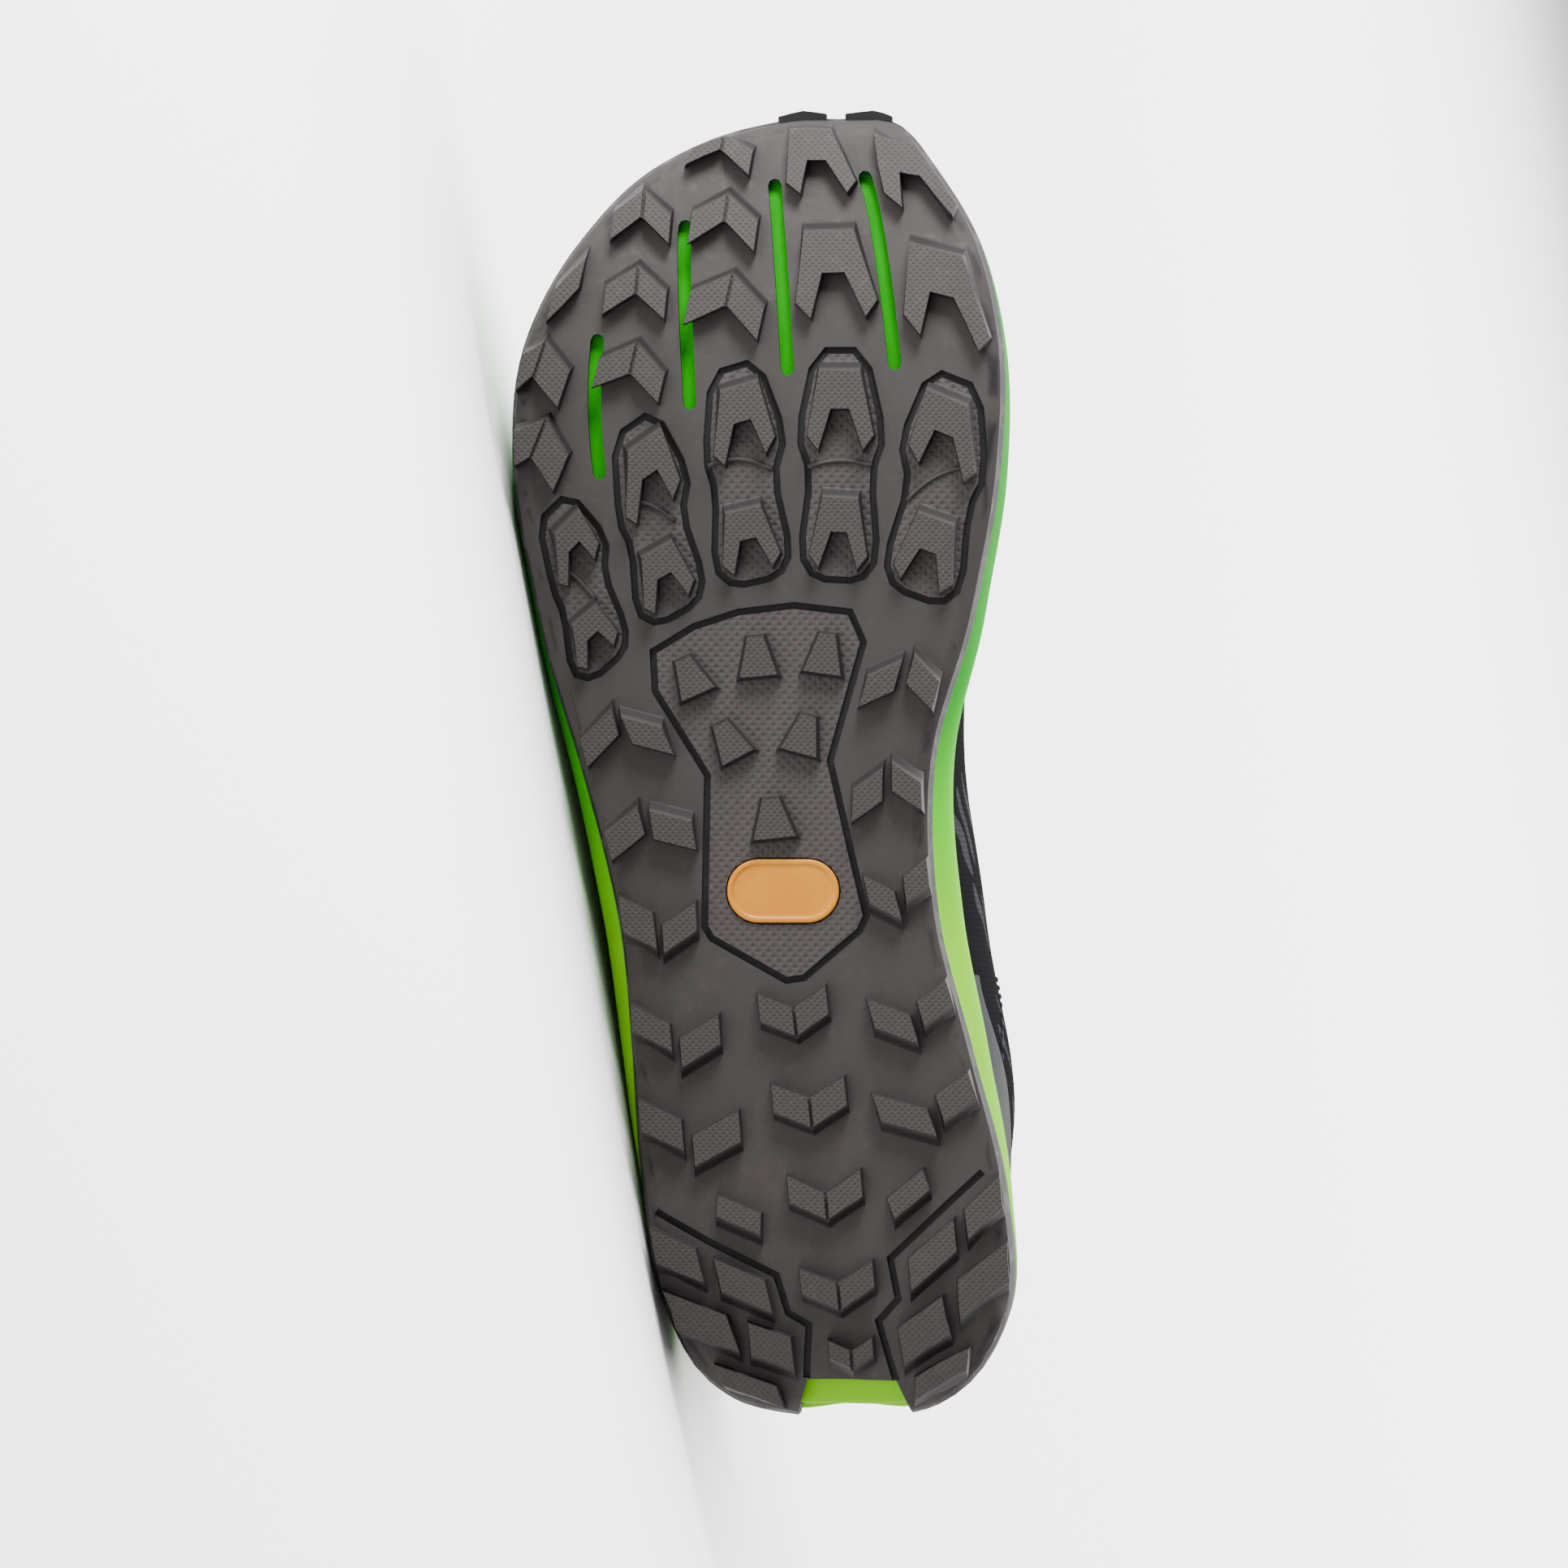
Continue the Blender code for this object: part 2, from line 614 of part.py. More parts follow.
def lug(top, ramped, height_share=1.0, draft=LUG_DRAFT, ramp=Vector((0, 0))):
    """Tapered lug from the ground to a root inside the outsole. The ramped corners lean out."""
    top = [kept_inside(point, LUG_FROM_EDGE) for point in top]
    base = offset_outline(top, draft)
    base = [point + ramp if index in ramped else point for index, point in enumerate(base)]
    base = [kept_inside(point, LUG_FROM_EDGE) for point in base]
    drop = LUG_HEIGHT * (1 - height_share)
    high = [(point.x, point.y, ground(point.x) + drop) for point in top]
    low = [(point.x, point.y, outsole_face(point) + OUTSOLE_THICKNESS * LUG_ROOT) for point in base]
    return prism(low, high)


def ramp_way(turn, length=LUG_RAMP):
    angle = math.radians(turn)
    return Vector((math.cos(angle), math.sin(angle))) * length


def chevron(row):
    along, across, turn, reach, fall, tip, apex = row
    centre = plan(along, across)
    unit = SOLE_LENGTH / 100
    half = reach / 100 * width_at(along / 100)
    corners = (
        (0, 0), (fall * unit, half), ((fall + tip) * unit, half),
        (apex * unit, 0), ((fall + tip) * unit, -half), (fall * unit, -half),
    )
    top = [local_point(centre, turn, 0, back, side) for back, side in corners]
    return lug(top, (0, 1, 5), ramp=ramp_way(turn, LUG_RAMP * 0.8))


CLAW_CORNERS = (
    (0.0, -0.62), (0.0, 0.62), (0.82, 1.0), (1.0, 0.68),
    (0.48, 0.28), (0.48, -0.28), (1.0, -0.68), (0.82, -1.0),
)


def claw_top(row):
    along, across, turn, lean, half_width, length = row
    centre = plan(along, across)
    half = half_width / 100 * width_at(along / 100)
    depth = length / 100 * SOLE_LENGTH
    return [local_point(centre, turn, lean, back * depth, side * half) for back, side in CLAW_CORNERS]


def claw(row):
    return lug(claw_top(row), (0, 1), ramp=ramp_way(row[2]))


def wedge(row):
    along, across, turn, front, back, length = row
    centre = plan(along, across)
    width = width_at(along / 100) / 100
    depth = length / 100 * SOLE_LENGTH
    corners = ((0, -front), (0, front), (depth, back), (depth, -back))
    top = [local_point(centre, turn, 0, down, side * width) for down, side in corners]
    return lug(top, (), WEDGE_HEIGHT_SHARE, WEDGE_DRAFT)


def bar(row):
    along, across, run, rise, depth, lean, ramp_side = row
    centre = plan(along, across)
    width = width_at(along / 100) / 100
    unit = SOLE_LENGTH / 100
    half_run = Vector((rise * unit, run * width)) / 2
    half_depth = Vector((-depth * unit, lean * width)) / 2
    top = [
        centre - half_run - half_depth, centre + half_run - half_depth,
        centre + half_run + half_depth, centre - half_run + half_depth,
    ]
    ramped = (0, 1) if ramp_side > 0 else (2, 3)
    return lug(top, ramped, ramp=Vector((LUG_RAMP * ramp_side, 0)))


def pod_outline(pod):
    """Outline of a pod, worked out from its two claws."""
    front, back = pod
    front_top, back_top = claw_top(front), claw_top(back)
    points = []
    for side in (1, -1):
        crown, outer, foot = (1, 2, 3) if side > 0 else (0, 7, 6)
        half = [
            front_top[crown] + ramp_way(front[2], POD_FRONT) + ramp_way(front[2] + 90 * side, POD_SIDE * 0.4),
            front_top[outer] + ramp_way(front[2] + 90 * side, POD_SIDE),
            (front_top[foot] + back_top[crown]) / 2 + ramp_way(front[2] + 90 * side, POD_SIDE),
            back_top[outer] + ramp_way(back[2] + 90 * side, POD_SIDE),
            back_top[foot] + ramp_way(back[2], -POD_BACK) + ramp_way(back[2] + 90 * side, POD_SIDE * 0.3),
        ]
        points += half if side > 0 else half[::-1]
    return points


def strip(points, closed, low, high, width=GROOVE_WIDTH):
    """Cutter for a groove along a line in plan, from below the outsole's face up into it."""
    count = len(points)
    sides = []
    for index, point in enumerate(points):
        before = point - points[index - 1] if closed or index else points[1] - point
        last = not closed and index == count - 1
        after = before if last else points[(index + 1) % count] - point
        before.normalize()
        after.normalize()
        mitre = Vector((-before.y - after.y, before.x + after.x))
        mitre *= width / 2 / max(0.35, mitre.length_squared / 2)
        sides.append((point - mitre, point + mitre))
    rings = []
    for pair in sides:
        corners = []
        for edge, depth in ((0, low), (1, low), (1, high), (0, high)):
            spot = pair[edge]
            corners.append((spot.x, spot.y, outsole_face(spot) + depth))
        rings.append(corners)
    solid_points = [point for ring in rings for point in ring]
    faces = []
    for index in range(count if closed else count - 1):
        after = (index + 1) % count
        for corner in range(4):
            beside = (corner + 1) % 4
            faces.append((index * 4 + corner, index * 4 + beside, after * 4 + beside, after * 4 + corner))
    if not closed:
        faces += [(0, 1, 2, 3), tuple(4 * (count - 1) + corner for corner in (3, 2, 1, 0))]
    return solid_points, faces


def softened(points):
    """Closed outline with each corner cut once, so that it reads as round."""
    found = []
    for a, b in zip(points, points[1:] + points[:1]):
        found += [a.lerp(b, 0.22), a.lerp(b, 0.78)]
    return found


def bowed(ends, count=7):
    """Points of a smooth line through three places."""
    first, middle, last = [plan(*place) for place in ends]
    control = middle * 2 - (first + last) / 2
    found = []
    for index in range(count):
        t = index / (count - 1)
        found.append(first * (1 - t) ** 2 + control * 2 * t * (1 - t) + last * t * t)
    return found


def slot_outline(places):
    """Outline of a flex slot: a bowed line with its width and round ends."""
    line = bowed(places)
    left, right = [], []
    for index, point in enumerate(line):
        way = (line[min(index + 1, len(line) - 1)] - line[max(index - 1, 0)]).normalized()
        side = Vector((-way.y, way.x)) * SLOT_WIDTH / 2
        left.append(point + side)
        right.append(point - side)
    start = (line[0] - line[1]).normalized() * SLOT_WIDTH / 2
    end = (line[-1] - line[-2]).normalized() * SLOT_WIDTH / 2
    caps = []
    for centre, cap, side in ((line[0], start, left[0] - line[0]), (line[-1], end, right[-1] - line[-1])):
        turns = [math.pi / 4 * step for step in (1, 2, 3)]
        caps.append([centre + cap * math.sin(a) - side * math.cos(a) for a in turns])
    return left + caps[1] + right[::-1] + caps[0]


def straight_prism(outline, low, high):
    """Prism that follows the outsole's face, between two depths from it."""
    bottom = [(point.x, point.y, outsole_face(point) + low) for point in outline]
    top = [(point.x, point.y, outsole_face(point) + high) for point in outline]
    return prism(bottom, top)


# Outsole

def tray_ring(inward_offset, angle):
    """Ring of the outsole's rolled edge, with its skin moved inward."""
    radius = EDGE_ROLL - inward_offset
    inward = EDGE_ROLL - radius * math.sin(math.radians(angle))
    height = EDGE_ROLL - radius * math.cos(math.radians(angle))
    ring = []
    for column in COLUMNS:
        point = column.at(inward)
        ring.append((point.x, point.y, ground(point.x) + LUG_HEIGHT + height))
    return ring


def flat_ring(share, height):
    ring = []
    for column in COLUMNS:
        point = column.toward_spine(EDGE_ROLL, share)
        ring.append((point.x, point.y, ground(point.x) + LUG_HEIGHT + height))
    return ring


def wrap_ring(inward):
    ring = []
    for column in COLUMNS:
        point = column.at(inward)
        height = LUG_HEIGHT + EDGE_ROLL + column.wrap
        ring.append((point.x, point.y, ground(point.x) + height))
    return ring


def toe_bumper_lugs():
    """Two low blocks on the rubber that wraps the toe."""
    pieces = []
    for low, high in TOE_BUMPER_LUGS:
        places = [plan(100, across) for across in (low, (low + high) / 2, high)]
        feet = [nearest_edge(place)[1] for place in places]
        inner = Vector((OUTSOLE_THICKNESS / 2, 0))
        outer = Vector((TOE_BUMPER_PROUD, 0))
        outline = [
            feet[0] - inner, feet[0] + outer * 0.6, feet[1] + outer, feet[2] + outer * 0.6, feet[2] - inner,
        ]
        base = ground(feet[1].x) + LUG_HEIGHT + EDGE_ROLL * 0.7
        pieces.append(prism([(p.x, p.y, base) for p in outline],
                            [(p.x, p.y, base + TOE_BUMPER_HEIGHT) for p in outline]))
    return pieces


def make_outsole(surface):
    inner = OUTSOLE_THICKNESS
    rings = [
        flat_ring(1, 0), flat_ring(0.5, 0), tray_ring(0, 0), tray_ring(0, 50), tray_ring(0, 90),
        wrap_ring(0), wrap_ring(inner),
        tray_ring(inner, 90), tray_ring(inner, 50), tray_ring(inner, 0),
        flat_ring(0.5, inner), flat_ring(1, inner),
    ]
    outsole = ring_solid("outsole", rings, surface)
    lugs = [chevron(row) for row in CHEVRONS]
    lugs += [claw(row) for row in TOE_CLAWS]
    lugs += [claw(row) for pod in PODS for row in pod]
    lugs += [wedge(row) for row in WEDGES]
    lugs += [bar(row) for row in BARS + HEEL_BARS]
    boolean(outsole, cutter("tread_lugs", lugs), "UNION")
    boolean(outsole, cutter("toe_bumper", toe_bumper_lugs()), "UNION")
    below = -CUT_CLEARANCE
    grooves = [strip(softened(pod_outline(pod)), True, below, GROOVE_DEPTH) for pod in PODS]
    grooves.append(strip([plan(*place) for place in ARCH_PLATE], True, below, GROOVE_DEPTH))
    for line in (HEEL_GROOVE_LATERAL, HEEL_GROOVE_MEDIAL):
        through_lugs = -LUG_HEIGHT - CUT_CLEARANCE / 2
        grooves.append(strip([plan(*place) for place in line], False, through_lugs, GROOVE_DEPTH))
    boolean(outsole, cutter("groove_cutter", grooves), "DIFFERENCE")
    notch = [plan(*place) for place in HEEL_NOTCH]
    pieces = [prism([(p.x, p.y, -LUG_HEIGHT) for p in notch], [(p.x, p.y, NOTCH_TOP) for p in notch])]
    boolean(outsole, cutter("heel_notch", pieces), "DIFFERENCE")
    recess = inlay_outline(GAP)
    pieces = [prism([(p.x, p.y, LUG_HEIGHT - INLAY_THICKNESS) for p in recess],
                    [(p.x, p.y, LUG_HEIGHT + INLAY_THICKNESS / 2 + GAP) for p in recess])]
    boolean(outsole, cutter("inlay_recess", pieces), "DIFFERENCE")
    slot_top = OUTSOLE_THICKNESS + GAP + SLOT_FLOOR
    slots = [straight_prism(slot_outline(slot), below * 2, slot_top) for slot in FLEX_SLOTS]
    slot_cutter = cutter("flex_slots", slots)
    boolean(outsole, slot_cutter, "DIFFERENCE")
    return outsole, slot_cutter


def inlay_outline(beyond):
    """Plain rounded outline of the inlay, with arcs at its two ends."""
    centre = plan(*INLAY_CENTRE)
    radius = INLAY_LENGTH / 2
    arm = INLAY_WIDTH / 2 - radius
    points = []
    for side in (1, -1):
        for step in range(9):
            angle = math.radians(-90 + step * 22.5)
            points.append(centre + Vector((
                math.sin(angle) * (radius + beyond) * side,
                (arm + math.cos(angle) * (radius + beyond)) * side,
            )))
    return points


def make_inlay(surface):
    low = LUG_HEIGHT - INLAY_THICKNESS / 2
    outline = inlay_outline(0)
    rim = [point + (plan(*INLAY_CENTRE) - point) * 0.07 for point in outline]
    levels = (
        [(p.x, p.y, low) for p in rim],
        [(p.x, p.y, low + INLAY_THICKNESS * 0.25) for p in outline],
        [(p.x, p.y, low + INLAY_THICKNESS) for p in outline],
    )
    count = len(outline)
    faces = [tuple(range(count)), tuple(range(3 * count - 1, 2 * count - 1, -1))]
    for level in range(2):
        for index in range(count):
            after = (index + 1) % count
            faces.append((level * count + index, level * count + after,
                          (level + 1) * count + after, (level + 1) * count + index))
    return mesh_object("sole_inlay", [p for level in levels for p in level], faces, surface)


# Midsole

# Side of the midsole, a row for each rib or step: share of the height from the outsole's edge to
# the rim, and how far it lies inside the flared edge, in metres
SIDE_ROWS = (
    (0.10, 0.0006), (0.34, 0.0), (0.40, 0.0012), (0.46, 0.0), (0.70, 0.0), (0.76, 0.0012), (0.92, 0.0002),
)


def side_ring(share, inside):
    ring = []
    for column in COLUMNS:
        low = LUG_HEIGHT + EDGE_ROLL + column.wrap + GAP + ground(column.edge.x)
        high = footbed(column.edge.x) + RIM_HEIGHT
        flare = column.flare * ease(share / SIDE_WIDEST)
        lean = column.lean * ease((share - SIDE_WIDEST) / (1 - SIDE_WIDEST))
        point = column.at(inside - flare + lean)
        ring.append((point.x, point.y, blend(low, high, share)))
    return ring


def rim_rings():
    outer, inner, floor = [], [], []
    for column in COLUMNS:
        share = column.share_at_height(RIM_HEIGHT)
        wall = column.wall(share)
        beside = Vector((wall.x, wall.y)) + column.outward * (GAP * 1.4)
        edge = column.at(RIM_ROUNDING + column.lean - column.flare)
        top = footbed(column.edge.x) + RIM_HEIGHT
        outer.append((edge.x, edge.y, top - GAP * 2))
        inner.append((beside.x, beside.y, column.curve[0].z - GAP + RIM_HEIGHT))
        foot = column.feather + column.outward * (GAP * 1.4)
        floor.append((foot.x, foot.y, footbed(foot.x)))
    return outer, inner, floor


def footbed_ring(share, height=0.0, inset=0.0):
    ring = []
    for column in COLUMNS:
        point = (column.feather - column.outward * inset).lerp(column.spine, share)
        ring.append((point.x, point.y, footbed(point.x) + height))
    return ring


def make_midsole(surface, slot_cutter):
    inner = OUTSOLE_THICKNESS + GAP
    outer_rim, inner_rim, floor = rim_rings()
    rings = [flat_ring(1, inner), flat_ring(0.5, inner)]
    rings += [tray_ring(inner, angle) for angle in (0, 50, 90)]
    rings.append(wrap_ring(inner))
    rings += [side_ring(share, inside) for share, inside in SIDE_ROWS]
    rings += [outer_rim, inner_rim, floor, footbed_ring(0.5), footbed_ring(1)]
    midsole = ring_solid("midsole", rings, surface)
    boolean(midsole, slot_cutter, "DIFFERENCE")
    return midsole


def make_insole(surface):
    low = GAP + UPPER_WALL + GAP
    side = UPPER_WALL + GAP * 5
    top = low + INSOLE_THICKNESS
    rings = [
        footbed_ring(1, low), footbed_ring(0.5, low), footbed_ring(0, low, side),
        footbed_ring(0, top, side + INSOLE_BEVEL), footbed_ring(0.5, top), footbed_ring(1, top),
    ]
    return ring_solid("insole", rings, surface)


# Upper

# Least share of the wall's curve between two of its main rows
LEAST_ROW = 0.06


def wall_shares(column):
    """Rows of the wall, as shares of the column's curve, from the feather edge to the opening."""
    rim = column.share_at_height(RIM_HEIGHT + OVERLAY_ABOVE_RIM)
    band = max(column.share_at_height(column.band), rim + LEAST_ROW)
    eye = max(column.share_from_edge(EYESTAY_WIDTH), band + LEAST_ROW)
    return (
        0.0, rim, blend(rim, band, 0.5), band, blend(band, eye, 0.33), blend(band, eye, 0.67),
        eye, blend(eye, 1, 0.5), 1.0,
    )


RIM_ROW, BAND_ROW, EYE_ROW, TOP_ROW = 1, 3, 6, 8
WALL_GRID = [[column.wall(share) for share in wall_shares(column)] for column in COLUMNS]


def wall_normal(index, row):
    count = len(WALL_GRID)
    around = WALL_GRID[(index + 1) % count][row] - WALL_GRID[index - 1][row]
    line = WALL_GRID[index]
    along = line[min(row + 1, TOP_ROW)] - line[max(row - 1, 0)]
    return along.cross(around).normalized()


def grid_object(name, grid, surface, cyclic, group="trail_running_shoe"):
    """Open surface through a grid of points, columns first."""
    rows = len(grid[0])
    points = [point for line in grid for point in line]
    faces = []
    for index in range(len(grid) if cyclic else len(grid) - 1):
        after = (index + 1) % len(grid)
        for row in range(rows - 1):
            near, far = index * rows + row, after * rows + row
            faces.append((near, near + 1, far + 1, far))
    return mesh_object(name, points, faces, surface, group, closed=False)


def solidify(piece, thickness, outward):
    change = piece.modifiers.new("wall", "SOLIDIFY")
    change.thickness = thickness
    change.offset = 1 if outward else -1
    change.use_even_offset = True
    return change


def section_of(place):
    return place if place <= LOOP.half else 2 * LOOP.half - place


def collar_weight(column, row):
    """Share of the collar's padding at a point of the wall."""
    around = ease((PADDED_TO_SECTION - section_of(column.place)) / PADDING_FADES_OVER)
    up = {TOP_ROW: 0.55, TOP_ROW - 1: 1.0, EYE_ROW: 0.8, EYE_ROW - 1: 0.25}.get(row, 0.0)
    return around * up


def make_upper(surface):
    grid = []
    for column, wall in zip(COLUMNS, WALL_GRID):
        margin = column.feather - column.outward * LASTING_MARGIN
        grid.append([Vector((margin.x, margin.y, footbed(margin.x) + GAP))] + wall)
    upper = grid_object("upper", grid, surface, True)
    weights = upper.vertex_groups.new(name="padding")
    rows = TOP_ROW + 2
    for index, column in enumerate(COLUMNS):
        for row in range(rows):
            share = UPPER_WALL / COLLAR_PAD
            weight = blend(share, 1.0, collar_weight(column, row - 1))
            weights.add([index * rows + row], weight, "REPLACE")
    change = solidify(upper, COLLAR_PAD, False)
    change.vertex_group = "padding"
    return upper


def overlay(name, chosen, first_row, last_row, surface, holes=None):
    """Overlay on the wall: the wall's own points moved out, between two rows of some columns."""
    grid = []
    for index in chosen:
        grid.append([
            WALL_GRID[index][row] + wall_normal(index, row) * GAP * 1.8
            for row in range(first_row, last_row + 1)
        ])
    piece = grid_object(name, grid, surface, False)
    solidify(piece, OVERLAY_THICKNESS, True)
    if holes:
        boolean(piece, holes, "DIFFERENCE")
    return piece


def columns_between(low, high, side=0):
    """Indices of the columns whose section lies in a range, in order round the sole."""
    chosen = []
    for index, column in enumerate(COLUMNS):
        medial = column.place <= LOOP.half
        if side and medial != (side > 0):
            continue
        if low <= section_of(column.place) <= high:
            chosen.append(index)
    return chosen


def heel_columns(limit):
    """Indices of the columns round the heel, lateral side first."""
    count = len(COLUMNS)
    chosen = columns_between(0, limit)
    return sorted(chosen, key=lambda index: index - count if index > count / 2 else index)


def opening_point(along, side, from_edge):
    """Point and outward normal of the wall beside the throat, at a share of the length."""
    chosen = columns_between(6, LOOP.half - 1, side)
    pairs = sorted((WALL_GRID[index][TOP_ROW].x, index) for index in chosen)
    target = along * SOLE_LENGTH
    for (x0, first), (x1, second) in zip(pairs, pairs[1:]):
        if x0 <= target <= x1:
            share = (target - x0) / (x1 - x0)
            spots = []
            for index in (first, second):
                column = COLUMNS[index]
                spots.append(column.wall(column.share_from_edge(from_edge)))
            spot = spots[0].lerp(spots[1], share)
            normals = [wall_normal(index, TOP_ROW - 1) for index in (first, second)]
            return spot, normals[0].lerp(normals[1], share).normalized()
    raise ValueError("no column beside the throat at this share of the length")


def eyelet_alongs():
    return [
        blend(EYELET_FIRST_ALONG, EYELET_LAST_ALONG, index / (EYELET_COUNT - 1))
        for index in range(EYELET_COUNT)
    ]


def eyelet_holes():
    """Cutter for the punched eyelets of both sides."""
    pieces = []
    for side in (1, -1):
        for along in eyelet_alongs():
            spot, normal = opening_point(along, side, EYELET_FROM_EDGE)
            ends = []
            for reach in (-0.006, 0.006):
                centre = spot + normal * reach
                first = normal.orthogonal().normalized()
                second = normal.cross(first)
                ends.append([
                    centre + (first * math.cos(a) + second * math.sin(a)) * EYELET_HOLE / 2
                    for a in [math.radians(45 * step) for step in range(8)]
                ])
            pieces.append(prism(ends[0], ends[1]))
    return cutter("eyelet_holes", pieces)


# Tongue, laces and pull tab

TONGUE_ROWS = 9
TONGUE_ACROSS = 8


def make_tongue(surface):
    """Padded strip that follows the inside of the wall across the throat."""
    first = EYELET_FIRST_ALONG - TONGUE_BEHIND
    last = EYELET_LAST_ALONG + TONGUE_AHEAD
    below = UPPER_WALL + GAP * 3
    grid = []
    sections = []
    for index in range(TONGUE_ROWS):
        along = blend(last, first, index / (TONGUE_ROWS - 1))
        spots = {}
        for side in (1, -1):
            for reach in (TONGUE_EDGE_REACH, TONGUE_WING_REACH):
                spot, normal = opening_point(along, side, reach)
                spots[side, reach] = spot - normal * below
        sections.append(spots)
    for spots in sections:
        edge_m, edge_l = spots[1, TONGUE_EDGE_REACH], spots[-1, TONGUE_EDGE_REACH]
        low_m, low_l = spots[1, TONGUE_WING_REACH], spots[-1, TONGUE_WING_REACH]
        across = (edge_m - edge_l).length
        line = [low_l]
        for step in range(TONGUE_ACROSS + 1):
            share = step / TONGUE_ACROSS
            crown = math.sin(math.pi * share) * across * THROAT_CROWN
            line.append(edge_l.lerp(edge_m, share) + Vector((0, 0, crown)))
        line.append(low_m)
        grid.append(line)
    top = grid[-1]
    way = (grid[-1][TONGUE_ACROSS // 2] - grid[-2][TONGUE_ACROSS // 2]).normalized()
    for step in (1, 2, 3):
        share = step / 3
        lift = way * TONGUE_ABOVE_THROAT * share
        centre = top[len(top) // 2]
        narrow = 1 - TONGUE_NARROWING * ease(share * 1.5)
        grid.append([centre + (point - centre) * narrow + lift for point in top])
    piece = grid_object("tongue", grid, surface, False)
    solidify(piece, TONGUE_THICKNESS, False)
    return piece


def tube(points, radius, sides=5):
    """Closed tube through points, with flat ends."""
    rings = []
    for index, point in enumerate(points):
        way = (points[min(index + 1, len(points) - 1)] - points[max(index - 1, 0)]).normalized()
        across = way.cross(Vector((0, 0, 1))).normalized()
        up = across.cross(way)
        rings.append([
            point + (across * math.cos(a) + up * math.sin(a) * 0.7) * radius
            for a in [math.tau * step / sides for step in range(sides)]
        ])
    faces = [tuple(range(sides)), tuple((len(rings) - 1) * sides + s for s in range(sides - 1, -1, -1))]
    for level in range(len(rings) - 1):
        for step in range(sides):
            after = (step + 1) % sides
            faces.append((level * sides + step, level * sides + after,
                          (level + 1) * sides + after, (level + 1) * sides + step))
    return [point for ring in rings for point in ring], faces


def lace_path(side, along_start, along_end, end_reach):
    """Line of a lace from an eyelet of one side over the tongue to the throat's other edge."""
    rise = OVERLAY_THICKNESS + GAP * 4.6 + LACE_DIAMETER * 0.36
    start, start_normal = opening_point(along_start, side, EYELET_FROM_EDGE)
    end, end_normal = opening_point(along_end, -side, end_reach)
    near, near_normal = opening_point(along_start, side, THROAT_EDGE_REACH)
    far, far_normal = opening_point(along_end, -side, THROAT_EDGE_REACH)
    across = (near - far).length
    points = [start + start_normal * rise]
    for step in range(LACE_STEPS + 1):
        share = step / LACE_STEPS
        over = near_normal.lerp(far_normal, share).normalized() * rise
        crown = math.sin(math.pi * share) * across * THROAT_CROWN
        points.append(near.lerp(far, share) + over + Vector((0, 0, crown)))
    points.append(end + end_normal * rise)
    return points


def crossed(first, second):
    """Two lace lines whose heights are bent so that they pass through one point over the tongue."""
    middle = len(first) // 2
    meeting = (first[middle] + second[middle]) / 2
    bent = []
    for path in (first, second):
        shift = meeting - path[middle]
        count = len(path) - 1
        bent.append([point + shift * math.sin(math.pi * index / count) for index, point in enumerate(path)])
    return bent


def make_laces(surface):
    """Crossings from each pair of eyelets to just short of the next, the lowest with its bar."""
    alongs = eyelet_alongs()
    radius = LACE_DIAMETER / 2
    for index in range(EYELET_COUNT - 1):
        start, end = alongs[index + 1], alongs[index] + LACE_SHORT_OF_EYELET
        paths = [lace_path(side, start, end, LACE_END_REACH) for side in (1, -1)]
        first, second = [tube(path, radius) for path in crossed(*paths)]
        crossing = mesh_object("lace_crossing_" + str(index + 1), *first, surface)
        boolean(crossing, cutter("crossing_cutter_" + str(index + 1), [second]), "UNION")
    bar = tube(lace_path(1, alongs[-1], alongs[-1], EYELET_FROM_EDGE), radius)
    boolean(crossing, cutter("lace_bar", [bar]), "UNION")


def make_pull_tab(surface):
    """Folded webbing tab behind the collar's top edge."""
    top = WALL_GRID[0][TOP_ROW]
    low = WALL_GRID[0][EYE_ROW]
    normal = wall_normal(0, TOP_ROW - 1)
    base = GAP * 1.3
    side = Vector((0, PULL_TAB_WIDTH / 2, 0))
    up = Vector((0, 0, PULL_TAB_HEIGHT))
    grid = []
    for share in (-1.0, -0.4, 0.4, 1.0):
        across = side * share
        grid.append([
            low.lerp(top, 0.35) + normal * base + across,
            top + normal * base + across,
            top + normal * base + up * 0.5 + across * 0.96,
            top + normal * (base - 0.001) + up + across * 0.86,
        ])
    piece = grid_object("pull_tab", grid, surface, False)
    solidify(piece, 0.0022, True)


# Laying on the side

def evaluated_points():
    """Points of every part, as built, in the shoe's own axes."""
    graph = bpy.context.evaluated_depsgraph_get()
    found = []
    for item in collection("trail_running_shoe").objects:
        if item.type == "MESH":
            mesh = item.evaluated_get(graph).to_mesh()
            found += [vertex.co.copy() for vertex in mesh.vertices]
    return found


# Middle of the weight as shares of the sole's length, the ball's width and the instep height
MASS_MIDDLE = (0.51, -0.027, 0.28)


